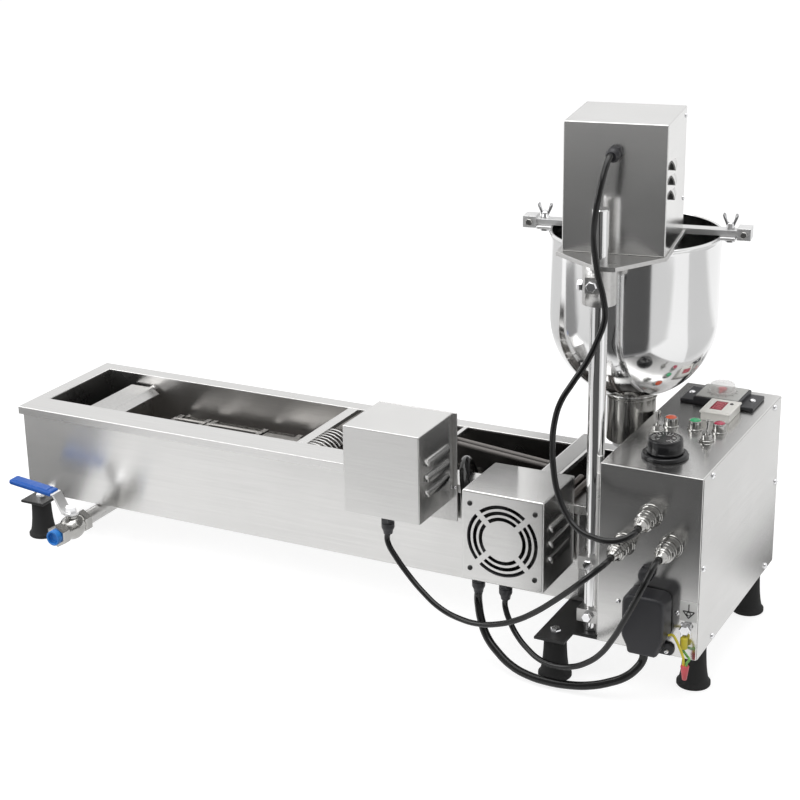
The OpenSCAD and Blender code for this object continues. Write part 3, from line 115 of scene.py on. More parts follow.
def head_way(x, y, z):
    """Direction given in the head's own directions."""
    return Matrix.Rotation(HEAD_TURN, 3, "Z") @ Vector((x, y, z))


def head_frame(x=0.0, y=0.0):
    """Placing at a point beside the post, turned as the head is."""
    return Matrix.Translation(head_spot(x, y, 0)) @ Matrix.Rotation(HEAD_TURN, 4, "Z")


def upright(at=(0, 0, 0)):
    """Placing that stands an outline up in x and z, to be drawn out towards the near side."""
    return Matrix.Translation(at) @ Matrix.Rotation(math.pi / 2, 4, "X")


def circle(count):
    """Points of a circle of radius one."""
    return [(math.cos(2 * math.pi * i / count), math.sin(2 * math.pi * i / count)) for i in range(count)]


def arc(middle, radius, first, last, steps):
    """Points of an arc, from one angle to another in degrees."""
    angles = [math.radians(first + (last - first) * i / steps) for i in range(steps + 1)]
    return [(middle[0] + radius * math.cos(a), middle[1] + radius * math.sin(a)) for a in angles]


def stud(radius, top, inward, down, foot=0.0):
    """Profile of a short cylinder whose top edge is cut, inward and down by so much."""
    return (0, foot), (radius, foot), (radius, top - down), (radius - inward, top), (0, top)


def mirrored(half, middle):
    """Outline of two like halves beside an upright line."""
    return [(middle + x, z) for x, z in half] + [(middle - x, z) for x, z in reversed(half)]


def body_of(node):
    """Name of the CAD body that a node belongs to."""
    for body, members in frame["record"]["behaviour"]["bodies"].items():
        if node in members:
            return body
    raise ValueError(f"no body holds {node}")


# Sizes and colours that a user would change

def length_value(label, about, default, least, most):
    """Length for the sidebar, in metres."""
    return FloatProperty(
        name=label, description=about, default=default, min=least, max=most, unit="LENGTH", precision=4)


def colour_value(label, about, default):
    """Colour for the sidebar."""
    return FloatVectorProperty(name=label, description=about, default=default, min=0, max=1, subtype="COLOR")


class FryerSizes(bpy.types.PropertyGroup):
    """Sizes of the dressed fryer"""
    fold_radius: length_value("Fold radius", "Outer radius of the folded sheet edges", 0.0014, 0.0002, 0.003)
    head_fold_radius: length_value(
        "Head fold radius", "Outer radius of the head cover's edges", 0.0022, 0.0002, 0.004)
    louvre_rise: length_value("Louvre rise", "Height of a louvre over its sheet", 0.0042, 0.001, 0.008)
    louvre_count: IntProperty(
        name="Louvres", description="Louvres in each side of a box", default=3, min=1, max=6)
    chain_pitch: length_value("Chain pitch", "Length of one chain link", 0.008, 0.005, 0.013)
    cord_diameter: length_value("Cord diameter", "Diameter of the three motor cords", 0.007, 0.004, 0.01)
    cable_diameter: length_value("Cable diameter", "Diameter of the heater cable", 0.010, 0.006, 0.012)
    wire_diameter: length_value("Wire diameter", "Diameter of the earth wires", 0.003, 0.002, 0.004)
    camera_lens: FloatProperty(
        name="Camera lens", description="Focal length on a 36 mm sensor in millimetres",
        default=81.64, min=20.0, max=200.0)
    floor_size: length_value("Floor size", "Side of the square floor", 24.0, 4.0, 60.0)


class FryerColours(bpy.types.PropertyGroup):
    """Colours of the dressed fryer"""
    sheet: colour_value("Sheet steel", "Colour of the brushed sheet", (0.72, 0.715, 0.705))
    polished: colour_value("Polished steel", "Colour of the hopper", (0.70, 0.695, 0.69))
    stained: colour_value("Oil stain", "Colour of the basin walls below the rim", (0.56, 0.54, 0.52))
    plastic: colour_value("Black plastic", "Colour of the knob, glands and cover", (0.009, 0.009, 0.010))
    rubber: colour_value("Black rubber", "Colour of the feet and cords", (0.007, 0.007, 0.007))
    grip: colour_value("Blue vinyl", "Colour of the valve's grip", (0.010, 0.092, 0.40))
    ivory: colour_value("Ivory plastic", "Colour of the counter", (0.86, 0.845, 0.80))
    floor: colour_value("Floor", "Colour of the floor", (0.34, 0.34, 0.34))


def sizes():
    """Sizes that the sidebar holds."""
    return bpy.context.scene.fryer_sizes


def colours():
    """Colours that the sidebar holds."""
    return bpy.context.scene.fryer_colours


# Meshes

def as_mesh(name, bm):
    """Mesh with what was gathered, which is then let go."""
    mesh = bpy.data.meshes.new(name)
    bm.to_mesh(mesh)
    bm.free()
    return mesh


def shaded(mesh, sharp=EDGE):
    """Smooth faces that break at edges sharper than the angle."""
    mesh.shade_smooth()
    mesh.set_sharp_from_angle(angle=math.radians(sharp))
    return mesh


def linked(name, data):
    """New object in the scene."""
    item = bpy.data.objects.new(name, data)
    bpy.context.scene.collection.objects.link(item)
    return item


def shown(name, mesh, finish, *nodes, body="frame", flat_faces=False):
    """Puts a mesh in the scene as a piece that rides on a body and stands for CAD nodes."""
    piece = linked(name, mesh)
    mesh.materials.clear()
    mesh.materials.append(finish)
    if flat_faces:
        weigh = piece.modifiers.new("Flat faces", "WEIGHTED_NORMAL")
        weigh.keep_sharp = True
        weigh.weight = 100
    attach(piece, body)
    if nodes:
        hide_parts(*nodes)


def rolled(bm, edges, radius, segments):
    """Rounds edges to a radius in metres."""
    bmesh.ops.bevel(
        bm, geom=edges, offset=radius, segments=segments, profile=0.5, affect="EDGES", clamp_overlap=True)


class Shape:
    """Gathers the solids of one piece; sizes are in millimetres, places in the frame."""

    def __init__(self):
        self.bm = bmesh.new()

    def join(self, mesh):
        """Takes a mesh in and removes it from the file."""
        self.bm.from_mesh(mesh)
        bpy.data.meshes.remove(mesh)
        return self

    def take(self, part, matrix):
        """Puts a part in its place and takes it in."""
        part.transform(matrix)
        return self.join(as_mesh("part", part))

    def skinned(self, rings, matrix=Matrix(), closed=False):
        """Skin over rings of points in metres; a ring of one point is a tip."""
        part = bmesh.new()
        rings = [[part.verts.new(p) for p in ring] for ring in rings]
        for a, b in zip(rings, rings[1:]):
            count = max(len(a), len(b))
            for i in range(count):
                j = (i + 1) % count
                corners = (a[i % len(a)], a[j % len(a)], b[j % len(b)], b[i % len(b)])
                corners = list(dict.fromkeys(corners))
                if len(corners) > 2:
                    part.faces.new(corners)
        if closed:
            part.faces.new(list(reversed(rings[0])))
            part.faces.new(rings[-1])
        bmesh.ops.recalc_face_normals(part, faces=part.faces)
        return self.take(part, matrix)

    def turned(self, profile, at=Vector(), way=UP, segments=48, spin=0.0):
        """Solid of revolution; the profile is (radius, height) pairs."""
        rings = []
        for r, h in profile:
            points = circle(segments) if r > 1e-6 else [(0, 0)]
            rings.append([(r / 1000 * c, r / 1000 * s, h / 1000) for c, s in points])
        turn = Vector(UP).rotation_difference(Vector(way).normalized()).to_matrix().to_4x4()
        return self.skinned(rings, Matrix.Translation(at) @ turn @ Matrix.Rotation(spin, 4, "Z"))

    def slab(self, low, high, radius, segments=2, matrix=Matrix.Translation(ORIGIN)):
        """Block with rounded edges between two corners."""
        part = bmesh.new()
        low, high = Vector(low) / 1000, Vector(high) / 1000
        bmesh.ops.create_cube(part, size=1.0)
        part.transform(Matrix.Translation((low + high) / 2) @ Matrix.Diagonal((*(high - low), 1)))
        if radius > 0:
            rolled(part, part.edges, radius / 1000, segments)
        return self.take(part, matrix)

    def extruded(self, outline, depth, matrix, radius=0.0, segments=2):
        """Outline given in x and y and drawn out along z."""
        part = bmesh.new()
        face = part.faces.new([part.verts.new((x / 1000, y / 1000, 0)) for x, y in outline])
        made = bmesh.ops.extrude_face_region(part, geom=[face])["geom"]
        bmesh.ops.translate(
            part, vec=(0, 0, depth / 1000), verts=[v for v in made if isinstance(v, bmesh.types.BMVert)])
        bmesh.ops.recalc_face_normals(part, faces=part.faces)
        if radius > 0:
            rims = [e for e in part.edges if abs(e.verts[0].co.z - e.verts[1].co.z) < 1e-7]
            rolled(part, rims, radius / 1000, segments)
        return self.take(part, matrix)

    def tube(self, points, radius, sides):
        """Round bar along frame points, closed at its ends."""
        side = None
        rings = []
        for i, p in enumerate(points):
            tangent = (points[min(i + 1, len(points) - 1)] - points[max(i - 1, 0)]).normalized()
            side = tangent.orthogonal() if side is None else side - side.dot(tangent) * tangent
            side.normalize()
            other = tangent.cross(side)
            rings.append([p + radius / 1000 * (c * side + s * other) for c, s in circle(sides)])
        return self.skinned(rings, closed=True)

    def mesh(self, name, sharp=EDGE):
        """All that was gathered, as one mesh."""
        return shaded(as_mesh(name, self.bm), sharp)

    def show(self, name, finish, *nodes, body="frame", sharp=EDGE, flat_faces=False):
        """Shows what was gathered as a piece."""
        shown(name, self.mesh(name, sharp), finish, *nodes, body=body, flat_faces=flat_faces)


def merged(node):
    """Copy of a CAD mesh with its triangles joined into faces."""
    bm = bmesh.new()
    bm.from_mesh(frame["nodes"][node].data)
    bmesh.ops.remove_doubles(bm, verts=bm.verts, dist=2e-6)
    bmesh.ops.dissolve_limit(
        bm, angle_limit=math.radians(0.4), use_dissolve_boundaries=False, verts=bm.verts, edges=bm.edges)
    return bm


def box_edges(bm, least=0.0, proud=0.0, turn=Matrix(), box=None):
    """Edges that lie on the outer box of a mesh, or on a given box in a turned frame.

    Louvres that stand proud of the right side are outside the box."""
    home = turn.inverted()
    places = {v: home @ v.co for v in bm.verts}
    ends = box or [[pick(p[i] for p in places.values()) for i in range(3)] for pick in (min, max)]
    ends[1][X] -= proud

    def sides(v):
        return {(i, k) for i in range(3) for k in (0, 1) if abs(places[v][i] - ends[k][i]) < ON_PLANE}

    return [
        e for e in bm.edges
        if len(sides(e.verts[0]) & sides(e.verts[1])) >= 2 and e.calc_length() > least]


def sharp_edges(bm, least, height=None):
    """Outward edges at least as long as given in millimetres, at one height if that is given."""
    return [
        e for e in bm.edges
        if len(e.link_faces) == 2 and e.is_convex and e.calc_face_angle() > math.radians(50)
        and e.calc_length() * 1000 >= least
        and (height is None or abs((e.verts[0].co.z + e.verts[1].co.z) / 2 - height) < 1e-5)]


def folded(name, node, finish, radius, edges):
    """Copy of a CAD sheet with edges rolled over; it stands for the node.

    A function picks the edges, or a number: the least length of an outward edge."""
    bm = merged(node)
    chosen = edges(bm) if callable(edges) else sharp_edges(bm, edges)
    if not chosen:
        raise ValueError(f"no edges to fold on {node}")
    rolled(bm, chosen, radius, 3)
    mesh = shaded(as_mesh(name, bm), SHEET_EDGE)
    shown(name, mesh, finish, node, body=body_of(node), flat_faces=True)


def smoothed(name, node, finish):
    """Copy of a CAD solid with smooth round faces; it stands for the node."""
    mesh = shaded(as_mesh(name, merged(node)), SHEET_EDGE)
    shown(name, mesh, finish, node, body=body_of(node), flat_faces=True)


def dress(node, finish):
    """Gives a CAD node that stays a better finish."""
    mesh = frame["nodes"][node].data
    if not mesh.materials:
        mesh.materials.append(finish)
    for i in range(len(mesh.materials)):
        mesh.materials[i] = finish


# Node trees

def once(store):
    """For builders of groups and finishes: what has the name already isn't built again."""
    def wrap(build):
        @functools.wraps(build)
        def found(name=build.__name__, *values, **named):
            return getattr(bpy.data, store).get(name) or build(name, *values, **named)
        return found
    return wrap


class Tree:
    """Adds nodes to a tree, sets their inputs by name or number, and links them."""

    def __init__(self, tree):
        self.tree = tree

    def add(self, kind, settings=None, **inputs):
        """New node with its settings and inputs."""
        node = self.tree.nodes.new(kind)
        for key, value in (settings or {}).items():
            setattr(node, key, value)
        self.set(node, **inputs)
        return node

    def set(self, node, **inputs):
        """Sets inputs by their names, in which a blank is written as an underscore."""
        for key, value in inputs.items():
            self.feed(node, key.replace("_", " "), value)

    def feed(self, node, key, value):
        """Links an input to a node or a socket, or gives it a value."""
        socket = node.inputs[key]
        if isinstance(value, bpy.types.NodeSocket):
            self.tree.links.new(value, socket)
        elif isinstance(value, bpy.types.Node):
            self.tree.links.new(value.outputs[0], socket)
        else:
            socket.default_value = value

    def fed(self, kind, settings, *values):
        """First output of a new node whose inputs get the values in order."""
        node = self.add(kind, settings)
        for i, value in enumerate(values):
            self.feed(node, i, value)
        return node.outputs[0]

    def group(self, tree, **inputs):
        """Puts a shader group in a material with its own values."""
        return self.add("ShaderNodeGroup", {"node_tree": tree}, **inputs)

    def math(self, operation, *values):
        return self.fed("ShaderNodeMath", {"operation": operation}, *values)

    def product(self, *values):
        return functools.reduce(functools.partial(self.math, "MULTIPLY"), values)

    def largest(self, *values):
        return functools.reduce(functools.partial(self.math, "MAXIMUM"), values)

    def ranged(self, value, low, high, from_low=0.0, from_high=1.0):
        """Value carried from one range over to another and held there."""
        return self.fed("ShaderNodeMapRange", None, value, from_low, from_high, low, high)

    def blended(self, amount, first, second, kind="MIX"):
        """Mix of two colours."""
        node = self.add("ShaderNodeMix", {"data_type": "RGBA", "blend_type": kind})
        for key, value in ((0, amount), (6, first), (7, second)):
            self.feed(node, key, value)
        return node.outputs[2]

    def tinted(self, colour, amount):
        """Colour times a value that changes over the surface."""
        return self.blended(1.0, colour, amount, "MULTIPLY")

    def place(self):
        """Point of the surface in the piece's own directions."""
        return self.add("ShaderNodeTexCoord").outputs["Object"]

    def axes(self):
        """The x, y and z of that point."""
        return self.add("ShaderNodeSeparateXYZ", Vector=self.place()).outputs

    def ramp(self, axes, axis, first, last, begin, end):
        """Value that goes from first to last between two trough places on an axis."""
        return self.ranged(axes[axis], first, last, ORIGIN[axis] + begin / 1000, ORIGIN[axis] + end / 1000)

    def bumped(self, shader, height, strength, distance):
        bump = self.add("ShaderNodeBump", Strength=strength, Distance=distance, Height=height)
        self.set(shader, Normal=bump)


def new_group(name, kind, inputs, outputs):
    """New node group with named sockets, and the nodes at its two ends."""
    tree = bpy.data.node_groups.new(name, kind)
    for in_out, sockets in (("INPUT", inputs), ("OUTPUT", outputs)):
        for label, form in sockets.items():
            tree.interface.new_socket(name=label, in_out=in_out, socket_type="NodeSocket" + form)
    t = Tree(tree)
    return t, t.add("NodeGroupInput").outputs, t.add("NodeGroupOutput")


# Geometry node trees

def copying_tree(name, **inputs):
    """New geometry tree with a mesh going in and out, named inputs and a finish."""
    named = {label.replace("_", " "): form for label, form in inputs.items()}
    return new_group(
        name, "GeometryNodeTree", {"Geometry": "Geometry", **named, "Finish": "Material"},
        {"Geometry": "Geometry"})


def instances(t, source, points, label="Shape", **inputs):
    """Copies on points of the shape that an input names."""
    shape = t.add("GeometryNodeObjectInfo", Object=source[label])
    return t.add("GeometryNodeInstanceOnPoints", Points=points, Instance=shape.outputs["Geometry"], **inputs)


def finish_copies(t, source, ends, copies):
    """Ends a tree: the copies become one mesh with the finish that was asked for."""
    real = t.add("GeometryNodeRealizeInstances", Geometry=copies)
    t.set(ends, Geometry=t.add("GeometryNodeSetMaterial", Geometry=real, Material=source["Finish"]))
    return t.tree


@once("node_groups")
def copies_on_points(name):
    """One copy of a shape on each point, standing along the point's own way."""
    t, source, ends = copying_tree(name, Shape="Object", Scale="Float")
    way = t.add("GeometryNodeInputNamedAttribute", {"data_type": "FLOAT_VECTOR"}, Name="way")
    turn = t.add("FunctionNodeAlignRotationToVector", {"axis": "Z"}, Vector=way.outputs["Attribute"])
    copies = instances(t, source, source["Geometry"], Rotation=turn, Scale=source["Scale"])
    return finish_copies(t, source, ends, copies)


@once("node_groups")
def copies_in_row(name):
    """A row of equal copies of a shape, from a first place on by a step."""
    t, source, ends = copying_tree(name, Shape="Object", Count="Int", First="Vector", Step="Vector")
    line = t.add(
        "GeometryNodeMeshLine", {"mode": "OFFSET"}, Count=source["Count"], Start_Location=source["First"],
        Offset=source["Step"])
    return finish_copies(t, source, ends, instances(t, source, line))


@once("node_groups")
def copies_in_ring(name):
    """Equal copies of a shape round an upright axis, part of the way or all the way."""
    t, source, ends = copying_tree(
        name, Shape="Object", Count="Int", Step="Float", Begin="Float", Middle="Vector")
    line = t.add("GeometryNodeMeshLine", {"mode": "OFFSET"}, Count=source["Count"], Offset=(0, 0, 0))
    far = t.math("MULTIPLY_ADD", t.add("GeometryNodeInputIndex"), source["Step"], source["Begin"])
    copies = instances(t, source, line, Rotation=t.add("ShaderNodeCombineXYZ", Z=far))
    placed = t.add("GeometryNodeTransform", Geometry=copies, Translation=source["Middle"])
    return finish_copies(t, source, ends, placed)


@once("node_groups")
def chain_on_path(name):
    """Inner and outer links by turns along a closed path that lies in an upright plane."""
    t, source, ends = copying_tree(name, Inner_link="Object", Outer_link="Object", Links="Int")
    path = t.add("GeometryNodeMeshToCurve", Mesh=source["Geometry"])
    points = t.add("GeometryNodeCurveToPoints", {"mode": "COUNT"}, Curve=path, Count=source["Links"])
    along = t.add("FunctionNodeAlignRotationToVector", {"axis": "X"}, Vector=points.outputs["Tangent"])
    across = t.add(
        "FunctionNodeAlignRotationToVector", {"axis": "Y", "pivot_axis": "X"}, Rotation=along,
        Vector=(0, 1, 0))
    odd = t.math("MODULO", t.add("GeometryNodeInputIndex"), 2.0)
    both = t.add("GeometryNodeJoinGeometry")
    for label, choice in (("Inner link", odd), ("Outer link", t.math("SUBTRACT", 1.0, odd))):
        t.set(both, Geometry=instances(t, source, points, label, Selection=choice, Rotation=across))
    return finish_copies(t, source, ends, both)


def plain_mesh(item):
    """Mesh of an object with its modifiers applied; the object is removed."""
    graph = bpy.context.evaluated_depsgraph_get()
    mesh = bpy.data.meshes.new_from_object(item.evaluated_get(graph), depsgraph=graph)
    bpy.data.objects.remove(item)
    return mesh


def grown(name, tree, start=None, **values):
    """Plain mesh that a geometry tree makes; shapes given as meshes are lent to it."""
    lent = []
    holder = linked(name + "_start", start or bpy.data.meshes.new(name + "_start"))
    modifier = holder.modifiers.new("Copies", "NODES")
    modifier.node_group = tree
    for item in tree.interface.items_tree:
        key = item.name.replace(" ", "_")
        if item.in_out == "INPUT" and key in values:
            value = values[key]
            if isinstance(value, bpy.types.Mesh):
                value = linked(name + "_shape", value)
                lent.append(value)
            modifier[item.identifier] = value
    made = plain_mesh(holder)
    made.name = name
    for item in lent:
        bpy.data.objects.remove(item)
    if not made.polygons:
        raise ValueError(f"the tree made nothing for {name}")
    return made


def copies(name, shape, places, ways, finish, scale=1.0):
    """Mesh with a copy of one shape on each place, standing along its way."""
    points = bpy.data.meshes.new("points")
    points.from_pydata([tuple(p) for p in places], [], [])
    way = points.attributes.new("way", "FLOAT_VECTOR", "POINT")
    for item, value in zip(way.data, ways):
        item.vector = value
    return grown(name, copies_on_points(), points, Shape=shape, Scale=scale, Finish=finish)


def on_points(name, shape, places, ways, finish, *nodes):
    """Copies of one shape on given points, shown as one piece."""
    shown(name, shaded(copies(name, shape, places, ways, finish)), finish, *nodes)


def in_ring(name, shape, count, step, finish, begin=0, middle=(0, 0, 0)):
    """Mesh with copies of one shape in a ring; angles are in degrees."""
    return grown(
        name, copies_in_ring(), Shape=shape, Count=count, Step=math.radians(step), Begin=math.radians(begin),
        Middle=Vector(middle), Finish=finish)


def in_row(name, shape, count, first, step, finish):
    """Mesh with copies of one shape in a row."""
    return grown(
        name, copies_in_row(), Shape=shape, Count=count, First=Vector(first), Step=Vector(step),
        Finish=finish)


# Shader groups

@once("node_groups")
def brushed_lines(name):
    """Fine lines left by the brush, stretched along one direction of the piece."""
    t, source, ends = new_group(
        name, "ShaderNodeTree", {"Stretch": "Vector", "Streak": "Float"},
        {"Shade": "Float", "Height": "Float"})
    stretched = t.fed("ShaderNodeVectorMath", {"operation": "MULTIPLY"}, t.place(), source["Stretch"])
    noise = t.add("ShaderNodeTexNoise", Vector=stretched, Scale=1.0, Detail=3.0, Roughness=0.6)
    dark = t.math("SUBTRACT", 1.0, source["Streak"])
    t.set(ends, Shade=t.ranged(noise, dark, 1.0, 0.3, 0.7), Height=noise)
    return t.tree


@once("node_groups")
def smudges(name):
    """Large soft patches, as a wiped or handled surface has."""
    t, source, ends = new_group(
        name, "ShaderNodeTree", {"Scale": "Float", "Low": "Float", "High": "Float"}, {"Amount": "Float"})
    noise = t.add(
        "ShaderNodeTexNoise", Vector=t.place(), Scale=source["Scale"], Detail=5.0, Roughness=0.55)
    t.set(ends, Amount=t.ranged(noise, source["Low"], source["High"], 0.32, 0.68))
    return t.tree


@once("node_groups")
def fine_grain(name):
    """Moulded grain of plastic and rubber, with dust in clouds."""
    t, source, ends = new_group(
        name, "ShaderNodeTree", {"Scale": "Float", "Colour": "Color", "Dust": "Float"},
        {"Colour": "Color", "Height": "Float"})
    place = t.place()
    grain = t.add("ShaderNodeTexNoise", Vector=place, Scale=source["Scale"], Detail=2.0)
    cloud = t.add("ShaderNodeTexNoise", Vector=place, Scale=35.0, Detail=4.0, Roughness=0.6)
    share = t.ranged(cloud, 0.0, source["Dust"], 0.4, 0.8)
    t.set(ends, Colour=t.blended(share, source["Colour"], (0.45, 0.44, 0.42, 1)), Height=grain)
    return t.tree


# Finishes

def blank_finish(name):
    """New material with a lone principled shader."""
    material = bpy.data.materials.new(name)
    material.use_nodes = True
    material.node_tree.nodes.clear()
    t = Tree(material.node_tree)
    shader = t.add("ShaderNodeBsdfPrincipled")
    t.add("ShaderNodeOutputMaterial", Surface=shader)
    return material, t, shader


def rgba(colour, share=1.0):
    """Colour or a darker share of it, with full alpha."""
    return (*(c * share for c in colour), 1.0)


@once("materials")
def steel(name, colour, rough, stretch, spread=0.03, streak=0.06, bump=0.004, smudge=7, drawn=0.0):
    """Stainless steel with brush lines and wiped patches, drawn along its lines."""
    material, t, shader = blank_finish(name)
    lines = t.group(brushed_lines(), Stretch=stretch, Streak=streak)
    wiped = t.group(smudges(), Scale=smudge, Low=0.96, High=1.0)
    worn = t.group(smudges(), Scale=smudge * 1.7, Low=rough - spread, High=rough + spread)
    base = t.tinted(t.tinted(rgba(colour), lines.outputs["Shade"]), wiped)
    t.set(shader, Base_Color=base, Roughness=worn, Metallic=1.0)
    if drawn:
        along = t.add("ShaderNodeCombineXYZ", X=1.0, Y=0.2, Z=0.0)
        t.set(shader, Anisotropic=drawn, Anisotropic_Rotation=0.25, Tangent=along)
    t.bumped(shader, lines.outputs["Height"], bump, 0.0002)
    return material


def sheet_steel():
    return steel("sheet_steel", colours().sheet, rough=0.24, spread=0.02, stretch=(9, 9, 420), drawn=0.85)


def panel_steel():
    return steel("panel_steel", colours().sheet, rough=0.19, spread=0.02, stretch=(9, 9, 420), drawn=0.6)


def bright_steel():
    return steel("bright_steel", (0.70, 0.70, 0.695), rough=0.15, stretch=(600, 600, 20), bump=0.008)


# Painted reflection: the former's steel gets a dark colour that stands in for the dark surroundings it
# reflects.
def former_steel():
    return steel(
        "former_steel", (0.40, 0.395, 0.38), rough=0.16, stretch=(600, 600, 20), streak=0.08, bump=0.008)


def plain_steel():
    return steel(
        "plain_steel", (0.60, 0.595, 0.585), rough=0.33, spread=0.06, stretch=(300, 300, 300),
        streak=0.12, bump=0.05, smudge=25)


def polished_steel():
    return steel(
        "polished_steel", colours().polished, rough=0.095, spread=0.02, stretch=(250, 250, 9),
        streak=0.05, bump=0.006, smudge=9)


def chrome():
    return steel(
        "chrome", (0.78, 0.78, 0.785), rough=0.09, stretch=(400, 400, 400), streak=0.05, bump=0.01, smudge=40)


def nickel():
    return steel(
        "nickel", (0.46, 0.455, 0.44), rough=0.12, stretch=(400, 400, 400), streak=0.05, bump=0.01, smudge=40)


def dark_steel():
    return steel(
        "dark_steel", (0.11, 0.105, 0.10), rough=0.24, spread=0.05, stretch=(300, 300, 300),
        streak=0.1, bump=0.01, smudge=50)


def chain_steel():
    return steel(
        "chain_steel", (0.30, 0.29, 0.275), rough=0.38, spread=0.08, stretch=(350, 350, 350),
        streak=0.3, bump=0.10, smudge=60)


def rack_steel():
    return steel(
        "rack_steel", (0.50, 0.49, 0.475), rough=0.34, spread=0.06, stretch=(20, 600, 600),
        streak=0.16, bump=0.05, smudge=30)


@once("materials")
def tank_steel(name):
    """Sheet that is clean on the rim and stained by oil inside the basin, darker lower down; the well at the
    left end and the basin's right end are darkened to near black as painted shade.
    """
    material, t, shader = blank_finish(name)
    lines = t.group(brushed_lines(), Stretch=(14, 700, 700), Streak=0.10)
    shade, height = lines.outputs["Shade"], lines.outputs["Height"]
    patch = t.group(smudges(), Scale=9.0, Low=0.0, High=1.0)
    axes = t.axes()
    below = t.ramp(axes, Z, 1.0, 0.0, RIM_Z - 3.0, RIM_Z - 2.2)
    inside = t.ramp(axes, Y, 0.0, 1.0, 8, 12)
    # Painted shade: the well at the left end and the basin's right end are darkened to near black.
    painted_well_shade = t.ramp(axes, X, 1.0, 0.0, 80, 96)
    painted_right_end_shade = t.ramp(axes, X, 0.0, 1.0, 450, 600)
    # The stain share is larger lower down, and near full towards the right end, where the painted shade is
    # laid.
    depth = t.largest(t.ramp(axes, Z, 1.0, 0.35, 84, 178), t.product(painted_right_end_shade, 0.92))
    stained = colours().stained
    stain_and_shade = t.blended(patch, rgba(stained), rgba(stained, 0.75))
    # The stain colour is darkened to near black here as painted shade in the well and at the right end.
    stain_and_shade = t.blended(painted_well_shade, stain_and_shade, rgba(stained, 0.22))
    stain_and_shade = t.blended(painted_right_end_shade, stain_and_shade, rgba(stained, 0.13))
    base = t.blended(t.product(below, inside, depth), t.tinted(rgba(colours().sheet), shade), stain_and_shade)
    t.set(shader, Base_Color=base, Metallic=1.0, Roughness=t.ranged(patch, 0.25, 0.36))
    t.bumped(shader, height, 0.006, 0.0002)
    return material


@once("materials")
def heater_steel(name):
    """Tube that heat has browned in patches."""
    material, t, shader = blank_finish(name)
    patch = t.group(smudges(), Scale=30.0, Low=0.0, High=1.0)
    base = t.blended(patch, (0.10, 0.085, 0.075, 1), (0.22, 0.20, 0.19, 1))
    t.set(shader, Base_Color=base, Roughness=t.ranged(patch, 0.35, 0.5), Metallic=1.0)
    return material


@once("materials")
def moulded(name, colour, rough, grain=900, dust=0.0, bump=0.04, coat=0.0, gloss=0.5):
    """Moulded plastic, rubber or vinyl with a fine grain and a trace of dust."""
    material, t, shader = blank_finish(name)
    skin = t.group(fine_grain(), Scale=grain, Colour=rgba(colour), Dust=dust)
    patch = t.group(smudges(), Scale=28.0, Low=rough - 0.05, High=rough + 0.06)
    t.set(shader, Base_Color=skin, Roughness=patch, Coat_Weight=coat, Specular_IOR_Level=gloss)
    t.bumped(shader, skin.outputs["Height"], bump, 0.0001)
    return material


def black_plastic():
    return moulded("black_plastic", colours().plastic, rough=0.30, grain=2200, dust=0.002, gloss=0.12)


def knob_black():
    return moulded("knob_black", colours().plastic, rough=0.16, grain=2200, bump=0.02, gloss=0.45)


def blue_cap():
    return moulded("blue_cap", (0.020, 0.19, 0.58), rough=0.3, grain=800, gloss=0.4)


def black_rubber():
    return moulded("black_rubber", colours().rubber, rough=0.48, dust=0.02, bump=0.12, gloss=0.25)


def cord_black():
    return moulded("cord_black", colours().rubber, rough=0.13, grain=600, bump=0.02, gloss=0.4)


def black_paint():
    return moulded(
        "black_paint", (0.012, 0.012, 0.012), rough=0.36, grain=500, dust=0.008, bump=0.1, gloss=0.3)


def blue_vinyl():
    return moulded("blue_vinyl", colours().grip, rough=0.36, grain=800, bump=0.06, gloss=0.3)


def ivory_plastic():
    return moulded("ivory_plastic", colours().ivory, rough=0.38, grain=1800)


def green_wire():
    return moulded("green_wire", (0.03, 0.30, 0.06), rough=0.38, grain=500)


def yellow_wire():
    return moulded("yellow_wire", (0.75, 0.52, 0.03), rough=0.38, grain=500)


def red_plastic():
    return moulded("red_plastic", (0.62, 0.10, 0.08), rough=0.36, grain=600)


def pale_plate():
    return moulded("pale_plate", (0.50, 0.50, 0.48), rough=0.32, grain=700, bump=0.03)


def display_red():
    return moulded("display_red", (0.36, 0.03, 0.05), rough=0.16, bump=0.01, coat=0.5)


def digit_pink():
    return moulded("digit_pink", (0.85, 0.22, 0.26), rough=0.3, bump=0.01)


def white_mark():
    return moulded("white_mark", (0.62, 0.62, 0.60), rough=0.5, bump=0.03)


def label_white():
    return moulded("label_white", (0.80, 0.80, 0.78), rough=0.45, dust=0.02, bump=0.03)


# Black for printed marks, also used as painted shade in the head louvres' mouths.
def mark_black():
    return moulded("mark_black", (0.015, 0.015, 0.015), rough=0.5, bump=0.03)


@once("materials")
def lens(name, colour):
    """Coloured lamp glass, cloudy in patches and faintly lit."""
    material, t, shader = blank_finish(name)
    glow = t.tinted(rgba(colour), t.group(smudges(), Scale=220.0, Low=0.75, High=1.0))
    t.set(
        shader, Base_Color=glow, Roughness=0.12, Coat_Weight=0.6, Coat_Roughness=0.05, Emission_Color=glow,
        Emission_Strength=0.12)
    return material


@once("materials")
def clear_plastic(name):
    """Clear dome with faint smears."""
    material, t, shader = blank_finish(name)
    patch = t.group(smudges(), Scale=90.0, Low=0.02, High=0.07)
    t.set(shader, Base_Color=(0.96, 0.97, 0.97, 1), Roughness=patch, IOR=1.42, Transmission_Weight=0.72)
    return material


# Stage

